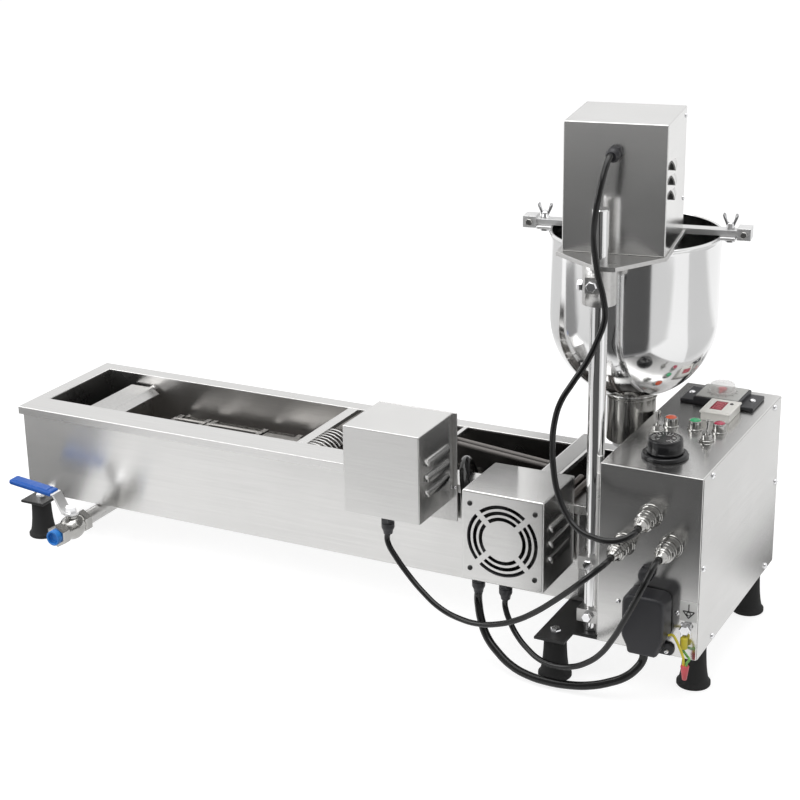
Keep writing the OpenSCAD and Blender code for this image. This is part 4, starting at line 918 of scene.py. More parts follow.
class FRYER_OT_stage(bpy.types.Operator):
    """Lay the floor, hang the lights and set the camera"""
    bl_idname = "fryer.stage"
    bl_label = "Stage"

    def execute(self, context):
        self.floor()
        self.cloths()
        self.world(context.scene)
        self.lamps()
        self.camera(context.scene)
        context.scene.view_settings.view_transform = "Standard"
        return {"FINISHED"}

    def plane(self, name, low, high, material):
        """Flat or upright rectangle between two frame points."""
        corners = (low, (high.x, low.y, low.z), high, (low.x, high.y, high.z))
        mesh = bpy.data.meshes.new(name)
        mesh.from_pydata([tuple(c) for c in corners], [], [(0, 1, 2, 3)])
        mesh.materials.append(material)
        item = linked(name, mesh)

    def floor(self):
        """Floor that shows white and whose far parts look brighter to the steel."""
        half = sizes().floor_size / 2
        drop = 0.0005
        material, t, shader = blank_finish("studio_floor")
        path = t.add("ShaderNodeLightPath").outputs
        away = t.add("ShaderNodeVectorMath", {"operation": "LENGTH"}, Vector=t.place())
        shone = t.product(t.ranged(away.outputs["Value"], 0.66, 0.76, 0.6, 1.6), path["Is Glossy Ray"])
        seen = t.product(t.largest(path["Is Camera Ray"], path["Is Transmission Ray"]), 0.80)
        t.set(
            shader, Base_Color=rgba(colours().floor), Roughness=0.9, Specular_IOR_Level=0.1,
            Emission_Color=(1, 1, 1, 1), Emission_Strength=t.math("ADD", shone, seen))
        self.plane("studio_floor", Vector((-half, -half, -drop)), Vector((half, half, -drop)), material)

    def cloth(self, name, low, high, density):
        """Dark cloth that only reflections show, as dense as the function says."""
        material, t, shader = blank_finish(name)
        t.set(shader, Base_Color=(0.03, 0.03, 0.03, 1), Roughness=0.9)
        path = t.add("ShaderNodeLightPath")
        dense = t.product(density(t, t.axes()), path.outputs["Is Glossy Ray"])
        mixed = t.fed("ShaderNodeMixShader", None, dense, t.add("ShaderNodeBsdfTransparent"), shader)
        end = next(n for n in material.node_tree.nodes if n.type == "OUTPUT_MATERIAL")
        t.set(end, Surface=mixed)
        self.plane(name, spot(*low), spot(*high), material)

    def slanted(self, t, axes, slope, first, last, x, soft):
        """Value that goes from first to last over a slanted line on the floor, which starts at x."""
        middle = ORIGIN.x + x / 1000 + slope * ORIGIN.y
        line = t.math("ADD", axes[X], t.product(axes[Y], slope))
        return t.ranged(line, first, last, middle - soft, middle + soft)

    def table_cloth(self, t, axes):
        """Cloth on the floor before the fryer's right part, and a thin one before its left end."""
        away, beside = -0.522, 0.885
        dense = t.product(
            t.ramp(axes, Y, 1.0, 0.0, -430, -230), t.ramp(axes, Y, 0.9, 0.97, -2100, -1650),
            self.slanted(t, axes, away, 0.0, 1.0, 905, 0.05),
            self.slanted(t, axes, beside, 1.0, 0.0, 857 + beside * 113, 0.07))
        thin = t.product(
            self.slanted(t, axes, away, 0.80, 0.0, 58, 0.004), t.ramp(axes, Y, 0.0, 1.0, -800, -480))
        return t.largest(dense, thin, t.ramp(axes, Y, 0.32, 0.0, -500, -370))

    def rear_cloth(self, t, axes):
        """Thin cloth on the floor at the back, dense behind the hopper."""
        sides = t.largest(t.ramp(axes, X, 0.0, 1.0, 1120, 1330), t.ramp(axes, X, 1.0, 0.0, 100, 400))
        thin = t.product(t.ramp(axes, Y, 0.34, 0.0, 1150, 1350), sides)
        dense = t.product(
            t.ramp(axes, X, 0.0, 0.88, 790, 860), t.ramp(axes, X, 1.0, 0.0, 1050, 1110),
            t.ramp(axes, Y, 0.0, 1.0, 235, 320), t.ramp(axes, Y, 1.0, 0.0, 700, 850))
        return t.largest(dense, thin)

    def back_cloth(self, t, axes):
        """Cloth behind the hopper, which the control panel shows; its top falls to the right."""
        top = t.math("ADD", axes[Z], t.product(axes[X], 0.59))
        return t.product(
            t.ramp(axes, X, 0.94, 0.0, 805, 915), t.ramp(axes, X, 0.0, 1.0, 490, 560),
            t.ranged(top, 1.0, 0.0, 0.69, 0.78), t.ramp(axes, Z, 0.0, 1.0, 330, 400))

    def side_card(self, t, axes):
        """Card to the right of a rim box, thinner below."""
        return t.ramp(axes, Z, 0.55, 0.80, 100, 160)

    def cloths(self):
        for name, low, high, density in (
                ("table_cloth", (-900, -4600, 1), (2600, -40, 1), self.table_cloth),
                ("rear_cloth", (-1200, 235, 1), (3200, 1360, 1), self.rear_cloth),
                ("back_cloth", (480, 600, 320), (925, 600, 790), self.back_cloth),
                ("motor_card", (676, 26, 186), (745, 26, 290), self.side_card),
                ("heater_card", (834, 2.5, 62), (884, 2.5, 230), self.side_card)):
            self.cloth(name, low, high, density)

    def world(self, scene):
        """White all round, but greyer to the steel where the camera stands."""
        world = bpy.data.worlds.new("studio")
        world.use_nodes = True
        world.node_tree.nodes.clear()
        t = Tree(world.node_tree)
        path = t.add("ShaderNodeLightPath").outputs
        way = t.add("ShaderNodeTexCoord").outputs["Generated"]
        axes = t.add("ShaderNodeSeparateXYZ", Vector=way).outputs
        front = t.product(
            t.ranged(axes[Y], 1.0, 0.0, -0.5, 0.1), t.ranged(axes[Z], 1.0, 0.0, 0.7, 0.95),
            path["Is Glossy Ray"])
        seen = t.largest(path["Is Camera Ray"], path["Is Glossy Ray"], path["Is Transmission Ray"])
        level = t.math("SUBTRACT", t.ranged(seen, 0.62, 1.0), t.product(front, 0.66))
        sky = t.add("ShaderNodeBackground", Color=(1, 1, 1, 1), Strength=level)
        t.add("ShaderNodeOutputWorld", Surface=sky)
        scene.world = world

    def lamps(self):
        for name, place, aim, size, power in (
                ("top_light", spot(420, -100, 2300), spot(480, 60, 0), 2.4, 34.0),
                ("left_light", spot(-1500, -1500, 1500), spot(400, 60, 150), 1.6, 26.0)):
            light = bpy.data.lights.new(name, "AREA")
            light.shape = "SQUARE"
            light.size = size
            light.energy = power
            turn = (aim - place).normalized().to_track_quat("-Z", "Y").to_matrix().to_4x4()
            linked(name, light).matrix_world = Matrix.Translation(place) @ turn

    def camera(self, scene):
        """Camera that was solved from the photograph."""
        azimuth, rise, roll = math.radians(27.5), math.radians(19.7), math.radians(-1.0)
        back = Vector((
            math.sin(azimuth) * math.cos(rise), -math.cos(azimuth) * math.cos(rise), math.sin(rise)))
        level = Vector((math.cos(azimuth), math.sin(azimuth), 0))
        upward = back.cross(level)
        right = math.cos(roll) * level + math.sin(roll) * upward
        up = -math.sin(roll) * level + math.cos(roll) * upward
        data = bpy.data.cameras.new("photo_camera")
        data.lens = sizes().camera_lens
        data.sensor_width = 36.0
        data.sensor_fit = "HORIZONTAL"
        data.clip_end = 60.0
        data.shift_x, data.shift_y = -0.000875, -0.00175
        camera = linked("photo_camera", data)
        turn = Matrix((right, up, back)).transposed().to_4x4()
        camera.matrix_world = Matrix.Translation(spot(1566.5, -1858.5, 1034.3)) @ turn
        scene.camera = camera


# Cords

ROUTES = {
    "head_cord": (
        (882.6, -44.8, 617), (885, -59, 617), (884, -80, 588), (881, -88, 540), (889, -91, 495),
        (898, -93, 452), (880, -99, 400), (853, -106, 352), (847, -113, 305), (858, -122, 250),
        (888, -136, 218), (930, -143, 214), (951, -132, 222), (951, -116, 222)),
    "conveyor_cord": (
        (623, -85, 143), (623, -85, 129), (652, -92, 98), (702, -105, 68), (758, -116, 64), (812, -127, 86),
        (860, -138, 124), (900, -145, 162), (920, -133, 181), (920, -116, 181)),
    "fan_cord": (
        (777, -82, 86), (777, -82, 73), (796, -93, 48), (834, -110, 31), (876, -119, 36), (915, -130, 66),
        (946, -142, 118), (969, -145, 168), (976, -132, 189), (976, -116, 189)),
    "heater_cable": (
        (740, -78, 86), (740, -78, 69), (756, -90, 36), (797, -107, 13), (845, -115, 8), (896, -112, 13),
        (936, -100, 28), (952, -90, 48), (952, -90, 62)),
    "link_wire": (
        (980, -86, 84), (987.1, -86, 84), (999.2, -91, 66), (1001.2, -92, 58), (1001.3, -92, 52)),
    "earth_wire": (
        (997, -80, 69), (997, -80, 65), (1002.9, -84, 61.5), (1007.9, -92, 62.5), (1005.4, -92.4, 57.5),
        (1004.8, -92, 54.6), (1004.7, -92, 52)),
}
SLEEVE = (
    (666, 66, 174), (671, 39, 200), (680, 12, 206), (690, -9, 195), (698, -20, 171), (704, -27, 149),
    (714, -30, 134), (726, -30, 134))


def smooth_route(hand, steps):
    """Points of one smooth curve through given trough points, in the frame."""
    p = [spot(*q) for q in hand]
    q = [2 * p[0] - p[1]] + p + [2 * p[-1] - p[-2]]
    made = []
    for a, b, c, d in zip(q, q[1:], q[2:], q[3:]):
        for s in range(steps):
            u = s / steps
            made.append(0.5 * (
                2 * b + (c - a) * u + (2 * a - 5 * b + 4 * c - d) * u * u
                + (3 * b - a - 3 * c + d) * u ** 3))
    return made + [p[-1]]


def route_length(points):
    """Length along a line of points."""
    return sum((b - a).length for a, b in zip(points, points[1:]))


class FRYER_OT_cords(bpy.types.Operator):
    """Draw the three motor cords, the heater cable and the earth wires"""
    bl_idname = "fryer.cords"
    bl_label = "Cords"

    def execute(self, context):
        s = sizes()
        for node in ("head_cord", "conveyor_cord", "fan_cord"):
            self.cord(node, s.cord_diameter, cord_black(), "medium", 2)
        self.cord("heater_cable", s.cable_diameter, cord_black(), "stiff", 2)
        self.cord("link_wire", s.wire_diameter, yellow_wire(), "stiff", 5)
        self.cord("earth_wire", s.wire_diameter, green_wire(), "stiff", 3)
        return {"FINISHED"}

    def cord(self, node, diameter, finish, stiffness, steps):
        points = smooth_route(ROUTES[node], steps)
        curve = bpy.data.curves.new(node + "_run", "CURVE")
        curve.dimensions = "3D"
        curve.bevel_depth = diameter / 2
        curve.bevel_resolution = 5
        curve.resolution_u = 6
        curve.use_fill_caps = True
        spline = curve.splines.new("BEZIER")
        spline.bezier_points.add(len(points) - 1)
        for knot, p in zip(spline.bezier_points, points):
            knot.co = p
            knot.handle_left_type = knot.handle_right_type = "AUTO"
        curve.materials.append(finish)
        piece = linked(node + "_run", curve)
        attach(piece, body_of(node))
        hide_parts(node)
        length = route_length(smooth_route(ROUTES[node], 24))


# Pieces of the fryer

class FRYER_OT_trough(bpy.types.Operator):
    """Fold the casing and the oil tank and lay the bridges across it"""
    bl_idname = "fryer.trough"
    bl_label = "Trough"

    def execute(self, context):
        rim = functools.partial(sharp_edges, least=20, height=spot(0, 0, RIM_Z).z)
        folded("casing_sheet", "tank_casing", sheet_steel(), sizes().fold_radius, box_edges)
        folded("tank_sheet", "oil_tank", tank_steel(), 0.0011, rim)
        folded("discharge_plate", "discharge_flipper", plain_steel(), 0.0006, 30)
        smoothed("turning_plate", "turner_flipper", rack_steel())
        self.guide_rods()
        self.bridges()
        self.comb()
        return {"FINISHED"}

    def guide_rods(self):
        rods = Shape()
        for y in (138, 150):
            rods.tube([spot(603, y, 179.7), spot(756.2, y, 166)], 3.0, 20)
        rods.show("guide_rods", dark_steel())

    def bridges(self):
        """Flat cross bar, rounded bridge, and the two holders of the guide rods."""
        arch = [(756, 184), (784, 184)] + arc((780, 188), 4, 0, 90, 8) + arc((760, 188), 4, 90, 180, 8)
        shape = Shape().slab((422, 44.2, 178), (437, 185.8, 184), 0.8)
        shape.extruded(arch, 208, upright(spot(0, 208, 0)), 0.5)
        shape.slab((756, 128, 160), (759, 160, 185), 0.5)
        shape.slab((597, 130, 177), (603, 186, 184), 0.5)
        shape.show("bridge_bars", sheet_steel(), "tank_bridges", flat_faces=True)

    def comb(self):
        """Bent fingers on the cross bar."""
        hook = ((0, 0), (6, 0.6), (14, -0.6), (22, -4.5), (28, -11))
        finger = Shape().tube([Vector((x, 0, z)) / 1000 for x, z in hook], 1.2, 10)
        row = in_row(
            "comb_fingers", finger.mesh("finger"), 8, spot(436, 51.5, 181), (0, 0.008, 0), plain_steel())
        shown("comb_fingers", shaded(row), plain_steel())


class FRYER_OT_conveyor(bpy.types.Operator):
    """Lay the chains link by link and set the racks on them"""
    bl_idname = "fryer.conveyor"
    bl_label = "Conveyor"

    def execute(self, context):
        for node in ("drive_shaft", "idler_shaft", "motor_shaft"):
            smoothed(node + "_steel", node, plain_steel())
        self.chains()
        self.racks()
        return {"FINISHED"}

    def link(self, half, wide):
        """One link: two side plates and the roller between them."""
        thick, reach = 0.7, sizes().chain_pitch * 500
        outline = arc((reach, 0), 2.0, -90, 90, 4) + arc((-reach, 0), 2.0, 90, 270, 4)
        shape = Shape()
        for y in (thick - half, half):
            shape.extruded(outline, thick, upright((0, y / 1000, 0)))
        roller = ((0, -wide), (1.5, -wide), (1.5, wide), (0, wide))
        return shape.turned(roller, (reach / 1000, 0, 0), (0, 1, 0), 8).mesh("link")

    def path(self, y, first, last, standing):
        """Closed path round two sprockets, along the trough or standing at the driven shaft."""
        turns = arc((last, 0), CHAIN_R, -90, 90, 12) + arc((first, 0), CHAIN_R, 90, 270, 12)
        points = [spot(DRIVE_X - v, y, u) if standing else spot(u, y, SHAFT_Z + v) for u, v in turns]
        count = len(points)
        mesh = bpy.data.meshes.new("path")
        mesh.from_pydata([tuple(p) for p in points], [(i, (i + 1) % count) for i in range(count)], [])
        return mesh

    def chains(self):
        shape = Shape()
        for y, first, last, standing, half in (
                (60.5, IDLER_X, DRIVE_X, False, 2.4), (169.5, IDLER_X, DRIVE_X, False, 2.4),
                (54.5, SHAFT_Z, 210, True, 2.0)):
            length = 2 * (last - first) + 2 * math.pi * CHAIN_R
            shape.join(grown(
                "chain", chain_on_path(), self.path(y, first, last, standing),
                Inner_link=self.link(half - 0.8, half), Outer_link=self.link(half, half),
                Links=2 * round(length / (2000 * sizes().chain_pitch)), Finish=chain_steel()))
        shape.show("chain_links", chain_steel(), "conveyor_chain")

    def racks(self):
        """Two open frames with slats, a plain plate, and the push plates of the lower run."""
        shape = Shape()
        foot, top = 135.9, 138.9
        for x0, x1 in ((152, 206), (209, 300)):
            for low, high in (
                    ((x0, 72), (x1, 79)), ((x0, 151), (x1, 158)), ((x0, 79), (x0 + 7, 151)),
                    ((x1 - 7, 79), (x1, 151))):
                shape.slab((*low, foot), (*high, top), 0.5)
            for y in (91, 103, 115, 127, 139):
                shape.slab((x0 + 5, y - 2, 136.2), (x1 - 5, y + 2, 138.4), 0.5)
            for x in (x0 + 4, x1 - 4):
                shape.slab((x - 4, 58, foot), (x + 4, 172, 137.6), 0.4)
        shape.slab((305, 72, foot), (400, 158, top), 0.6)
        shape.slab((348, 58, foot), (356, 172, 137.6), 0.4)
        for x in (222, 322, 422, 522):
            shape.slab((x, 58, 96.2), (x + 2, 172, 104.2), 0.4)
        shape.show("conveyor_racks", rack_steel())


class FRYER_OT_heater(bpy.types.Operator):
    """Brown the heater tube and bend its sleeve over the rim"""
    bl_idname = "fryer.heater"
    bl_label = "Heater"

    def execute(self, context):
        smoothed("heater_loop", "heater_tubes", heater_steel())
        sleeve = Shape().tube(smooth_route(SLEEVE, 6), 6.5, 24)
        sleeve.show("rim_sleeve", cord_black(), "heater_sleeve", sharp=ROUND_EDGE)
        return {"FINISHED"}


def louvre(length, height, rise):
    """Pressed louvre: a hood that is open below, drawn out of a sheet that faces +x."""
    bm = bmesh.new()
    across, down = 28, 8
    taper = height / length * 1.1
    rows = []
    for i in range(across + 1):
        u = -1 + 2 * i / across
        end = max(0.0, abs(u) - (1 - taper)) / taper
        swell = math.sqrt(max(0.0, 1 - end * end))
        row = []
        for k in range(down + 1):
            a = math.pi / 2 * k / down
            out = rise * swell * math.sin(a) ** 0.8
            fall = height * (1 - math.cos(a))
            z = height - fall * (0.25 + 0.75 * swell) if k else height * (0.35 + 0.65 * swell)
            row.append(bm.verts.new((out / 1000, u * length / 2000, z / 1000)))
        rows.append(row)
    for a, b in zip(rows, rows[1:]):
        for k in range(down):
            bm.faces.new((a[k], a[k + 1], b[k + 1], b[k]))
    bmesh.ops.remove_doubles(bm, verts=bm.verts, dist=1e-6)
    bmesh.ops.recalc_face_normals(bm, faces=bm.faces)
    if sum(f.normal.x for f in bm.faces) < 0:
        bmesh.ops.reverse_faces(bm, faces=bm.faces)
    return shaded(as_mesh("louvre", bm), LOUVRE_EDGE)


class FRYER_OT_rim_boxes(bpy.types.Operator):
    """Fold the motor and heater boxes and give them louvres and glands"""
    bl_idname = "fryer.rim_boxes"
    bl_label = "Rim boxes"

    def execute(self, context):
        fold = 1.6 * sizes().fold_radius
        own_edges = functools.partial(box_edges, least=LONG_EDGE, proud=0.0032)
        folded("motor_box", "motor_cover", sheet_steel(), fold, own_edges)
        folded("heater_box", "heater_cover", sheet_steel(), fold, own_edges)
        folded("motor_bracket", "motor_hanger", plain_steel(), 0.0006, 25)
        self.louvres()
        self.glands()
        for node in ("fan_frame", "fan_rotor"):
            dress(node, black_plastic())
        dress("gearmotors", chain_steel())
        return {"FINISHED"}

    def louvres(self):
        shape = Shape()
        for x, y0, y1, z in ((671, -77, -18, 195), (830, -77, -20, 140)):
            hood = louvre(y1 - y0 + 5, 9.5, sizes().louvre_rise * 1000)
            first, step = spot(x - 0.05, (y0 + y1) / 2, z - 0.4), (0, 0, 0.0195)
            shape.join(in_row("louvres", hood, sizes().louvre_count, first, step, sheet_steel()))
        shape.show("box_louvres", sheet_steel(), sharp=LOUVRE_EDGE)

    def glands(self):
        shape = Shape().turned(stud(9, 6, 0.6, 0.8), segments=6)
        shape.turned((
            (0, 6), (8, 6), (8, 7), (7.2, 7.4), (7.2, 8), (8, 8.4), (8, 13.5), (7.6, 15.2), (6.4, 17.2),
            (5.8, 20), (5.5, 22), (0, 22)), segments=40)
        places = [spot(623, -85, 165), spot(777, -82, 108), spot(740, -78, 108), head_spot(8, 30, 617)]
        ways = [(0, 0, -1)] * 3 + [head_way(*NEAR)]
        on_points("cord_glands", shape.mesh("gland"), places, ways, black_plastic(), "cable_glands")


class FRYER_OT_base(bpy.types.Operator):
    """Stand the fryer on its rails and rubber feet, and set the bolts"""
    bl_idname = "fryer.base"
    bl_label = "Base"

    def execute(self, context):
        folded("base_rails", "cross_rails", black_paint(), 0.0008, 20)
        self.feet()
        self.bolts()
        return {"FINISHED"}

    def feet(self):
        foot = Shape().turned((
            (0, 0), (19.4, 0), (20, 0.8), (20, 4.2), (19.2, 5.2), (18, 6.4), (17, 9), (15.8, 15), (14.7, 24),
            (14, 34), (13.6, 44), (13.5, 49.5), (12.9, 51.9), (0, 51.9)), segments=56)
        places = [spot(*p, 0) for p in RAIL_FEET + BOX_FEET]
        on_points("bell_feet", foot.mesh("foot"), places, [UP] * len(places), black_rubber(), "rubber_feet")

    def bolts(self):
        """Bolts over the feet, through the post's bracket, at the earth point and at the clamp."""
        head = Shape().turned(stud(6.5, 6, 1.1, 1.4), segments=6)
        bolts = [(spot(*p, 56), UP) for p in RAIL_FEET]
        bolts += [(spot(POST_X, -69, z), NEAR) for z in (78, 145)]
        bolts += [(spot(EARTH_X, -76, 91), NEAR)]
        bolts += [(head_spot(-4, -21, 480), head_way(*NEAR)), (head_spot(-19, 0, 474), head_way(-1, 0, 0))]
        on_points("bolt_heads", head.mesh("bolt"), *zip(*bolts), chrome(), "hex_bolts")


class FRYER_OT_drain_valve(bpy.types.Operator):
    """Build the drain pipe, its ball valve and the lever"""
    bl_idname = "fryer.drain_valve"
    bl_label = "Drain valve"

    def execute(self, context):
        smoothed("drain_tube", "drain_pipe", plain_steel())
        self.body()
        smoothed("valve_ball", "valve_stem", chrome())
        folded("lever_strip", "valve_lever", bright_steel(), 0.0005, 8)
        self.grip()
        self.plug()
        return {"FINISHED"}

    def at(self, y):
        """Point on the axis of the drain."""
        return spot(DRAIN[0], y, DRAIN[1])

    def body(self):
        shape = Shape()
        nut = ((8.2, 0), (13.6, 0), (16, 1.6), (16, 12.4), (13.6, 14), (8.2, 14), (8.2, 0))
        for y, way in ((-90, (0, 1, 0)), (-26, NEAR)):
            shape.turned(nut, self.at(y), way, 6, math.radians(30))
        shape.turned((
            (8.2, 2), (12.6, 2), (12.6, 14), (14.6, 18), (16.4, 23), (17, 28), (16.4, 33), (14.6, 38),
            (12.6, 42), (12.6, 46), (8.2, 46), (8.2, 2)), self.at(-82), (0, 1, 0))
        shape.turned(
            ((4.1, 10), (8, 10), (8, 17), (7.2, 17.4), (7.2, 18), (4.1, 18), (4.1, 10)), self.at(LEVER_Y),
            segments=32)
        shape.show("valve_casting", nickel(), "valve_body")

    def grip(self):
        """Vinyl sleeve on the sloped end of the lever, crowned and closed at its tip."""
        slope = math.radians(6)
        run = 72 / math.cos(slope)
        turn = Matrix.Translation(spot(97, LEVER_Y, 89)) @ Matrix.Rotation(slope, 4, "Y")
        shape = Shape().slab((-run - 1, -10, -2.4), (-2, 10, 5.2), 3.4, 5, turn)
        shape.slab((-run + 8, -7.6, 3.0), (-10, 7.6, 5.9), 1.4, 4, turn)
        shape.show("vinyl_grip", blue_vinyl(), "lever_grip", body="valve_handle", sharp=60, flat_faces=True)

    def plug(self):
        shape = Shape().turned((
            (0, 5.5), (6.4, 5.5), (7.2, 4.6), (7.6, 1.0), (8.4, 0.1), (9.8, 0.1), (10.5, 1), (10.5, 7.9),
            (0, 7.9)), self.at(-98), (0, 1, 0))
        shape.show("pipe_plug", blue_cap(), "outlet_plug")


class FRYER_OT_head(bpy.types.Operator):
    """Stand the post and put the head with its drive on it"""
    bl_idname = "fryer.head"
    bl_label = "Post and head"

    def execute(self, context):
        profile = ((0, 0), (9.2, 0), (10, 0.8), (10, 504.6), (9.0, 506), (0, 506))
        post = Shape().turned(profile, spot(POST_X, POST_Y, 56), segments=64)
        post.show("post_bar", polished_steel(), "post")
        folded("post_clamps", "post_bracket", plain_steel(), 0.0008, 12)
        folded("head_deck", "head_plate", plain_steel(), 0.0008, 25)
        cover = [Vector((-50, 30, 503)) / 1000, Vector((66, 149, 650)) / 1000]
        own_edges = functools.partial(box_edges, least=LONG_EDGE, turn=head_frame(), box=cover)
        folded("head_box", "head_cover", panel_steel(), sizes().head_fold_radius, own_edges)
        self.louvres()
        for node in ("crank_disc", "connecting_rod", "plunger"):
            smoothed(node + "_steel", node, bright_steel())
        return {"FINISHED"}

    def louvres(self):
        """Scoops that open towards the front, each with a thin black plate in its mouth as painted shade."""
        rise = sizes().louvre_rise * 1000 + 0.8
        outline = [(0, 11), (0.35 * rise, 9.6), (0.7 * rise, 6.4), (0.92 * rise, 3), (rise, 0), (0, 0)]
        hood = Shape().skinned([
            [(x * share / 1000, y / 1000, z * (0.5 + 0.5 * share) / 1000) for x, z in outline]
            for share, y in ((1.0, 0), (0.96, 6), (0.8, 13), (0.5, 20), (0.1, 26))], closed=True)
        # Painted shade: a thin black plate stands in each louvre's dark mouth.
        opening = [(x * 0.64, 0.8 + z * 0.68) for x, z in reversed(outline)]
        mouth_shade = Shape().extruded(opening, 0.25, upright())
        first, step = (0.06595, 0.054, 0.5626), (0, 0, 0.0165)
        for name, shape, finish in (
                ("head_louvres", hood, panel_steel()), ("head_mouths", mouth_shade, mark_black())):
            row = in_row(name, shape.mesh(name, ROUND_EDGE), sizes().louvre_count, first, step, finish)
            row.transform(head_frame())
            shown(name, shaded(row, ROUND_EDGE), finish)


class FRYER_OT_hopper(bpy.types.Operator):
    """Spin the hopper and the forming cylinder, and hang them from their bar"""
    bl_idname = "fryer.hopper"
    bl_label = "Hopper"

    def execute(self, context):
        self.bowl()
        self.ears()
        self.former()
        self.bar()
        self.wing_nuts()
        return {"FINISHED"}

    def bowl(self):
        """Round bowl with a rolled rim and a neck."""
        inner = HOPPER_R - 1.5
        profile = [(30, NECK_Z), (30, NECK_Z + 1.6)]
        profile += arc((0, BOWL_Z), HOPPER_R, -72, 0, 24)
        profile += [(HOPPER_R, HOPPER_RIM_Z - h) for h in (80, 40, 14, 8.5, 6)]
        profile += arc((HOPPER_R + 0.2, HOPPER_RIM_Z - 2.6), 2.4, -75, 135, 14)
        profile += [(inner, HOPPER_RIM_Z - h) for h in (4, 7, 12, 50)]
        profile += arc((0, BOWL_Z), inner, 0, -72, 18)
        profile += [(26, BOWL_Z - 95.0), (26, NECK_Z), profile[0]]
        bowl = Shape().turned(profile, head_spot(HOPPER_X, HOPPER_Y, 0), segments=128)
        bowl.show("hopper_bowl", polished_steel(), "hopper", sharp=ROUND_EDGE)

    def ears(self):
        ears = Shape()
        for low, high in ((99, 118), (-118, -99)):
            ears.slab(
                (low, -14, HOPPER_RIM_Z - 4), (high, 14, HOPPER_RIM_Z), 1.4, 3,
                head_frame(HOPPER_X, HOPPER_Y))
        ears.show("hopper_ears", bright_steel(), flat_faces=True)

    def former(self):
        # The former's finish is darker than the other steel as painted reflection of dark surroundings.
        tube = Shape().turned((
            (26, 0), (29.2, 0), (30, 0.8), (30, 20), (30, 50), (30, 55.4), (31.2, 56), (31.5, 56.6),
            (31.5, 59.4), (30.9, 60), (26, 60), (26, 0)),
            head_spot(HOPPER_X, HOPPER_Y, FORMER_Z), segments=96)
        tube.show("forming_tube", former_steel(), "forming_cylinder")

    def bar(self):
        folded("carrying_bar", "hopper_bar", bright_steel(), 0.0009, 5)
        bolt = Shape().turned(stud(4.4, 3, 0.6, 0.6, -1), segments=6)
        places = [
            head_spot(HOPPER_X + s * BAR_END_X, HOPPER_Y - BAR_END_Y, BAR_TOP_Z - 3.5) for s in (-1, 1)]
        on_points("bar_bolts", bolt.mesh("bar_bolt"), places, [head_way(*NEAR)] * 2, nickel())

    def wing_nuts(self):
        """Bolt through the ear, with its nut below and its wing nut on the bar."""
        under, top = (0, 0, (HOPPER_RIM_Z - 4) / 1000), (0, 0, BAR_TOP_Z / 1000)
        shape = Shape().turned(stud(6, 0, 0.8, 0.6, -4), under, segments=6)
        shape.turned(stud(3, 20, 0.6, 0.6), under, segments=24)
        hub = ((0, 0), (5.4, 0), (5.4, 1.2), (4.4, 3), (4, 7), (3.4, 7.6), (0, 7.6))
        shape.turned(hub, top, segments=32)
        wing = [
            (2.4, 1.5), (4.4, 3), (6.4, 8), (8.6, 13), (9.4, 16), (8.8, 18.4), (7, 19.2), (5.4, 17.6),
            (4.4, 12), (2.4, 7)]
        for outline in (wing, [(-x, z) for x, z in reversed(wing)]):
            shape.extruded(outline, 2.6, upright((0, 0.0013, top[Z])), 0.7, 3)
        mesh = shape.mesh("wing_nut")
        mesh.transform(Matrix.Rotation(HEAD_TURN, 4, "Z"))
        places = [head_spot(HOPPER_X + s * WING_NUT_X, HOPPER_Y, 0) for s in (-1, 1)]
        on_points("winged_nuts", mesh, places, [UP] * 2, chrome(), "wing_nuts")


class FRYER_OT_control_box(bpy.types.Operator):
    """Fold the control box, hang its side cover and drive in the screws"""
    bl_idname = "fryer.control_box"
    bl_label = "Control box"

    def execute(self, context):
        long_edges = functools.partial(box_edges, least=LONG_EDGE)
        folded("control_sheet", "control_housing", panel_steel(), 0.0012, long_edges)
        folded("control_side", "side_cover", sheet_steel(), 0.0004, box_edges)
        self.screws()
        return {"FINISHED"}

    def screws(self):
        """Domed screws, drawn with a radius of 1 mm and scaled to their places."""
        mesh = Shape().turned((
            (0, 0), (1, 0), (0.98, 0.2), (0.8, 0.5), (0.45, 0.66), (0.3, 0.6), (0.22, 0.34), (0, 0.34)),
            segments=20).mesh("screw")
        screws = [(spot(1011, y, z), RIGHT, 4.0) for y, z in (
            (-44, 269), (198, 269), (219, 163.5), (193, 59), (-19, 59), (-64, 163.5))]
        screws += [(spot(673.5, -2.5, 180), NEAR, 2.0)]
        screws += [(spot(x, -78, 59), NEAR, 3.0) for x in (932, 976)]
        screws += [(spot(x, -74, 108), NEAR, 3.0) for x in (915, 986)]
        screws += [(spot(TIMER[0] + s * 38, TIMER[1], PANEL_Z + 5), UP, 4.0) for s in (-1, 1)]
        screws += [(head_spot(66, 140, z), head_way(*RIGHT), 2.6) for z in (545, 640)]
        shape = Shape()
        for size in sorted({s[2] for s in screws}):
            places, ways = zip(*(s[:2] for s in screws if s[2] == size))
            shape.join(copies("screws", mesh.copy(), places, ways, chrome(), size))
        shape.show("screw_heads", chrome(), "small_screws")
        places = [spot(FAN[0] + a * FAN_HOLE, -95, FAN[1] + b * FAN_HOLE) for a in (-1, 1) for b in (-1, 1)]
        dark = copies("fan_screws", mesh, places, [NEAR] * 4, black_paint(), 3.2)
        shown("fan_screws", shaded(dark), black_paint())


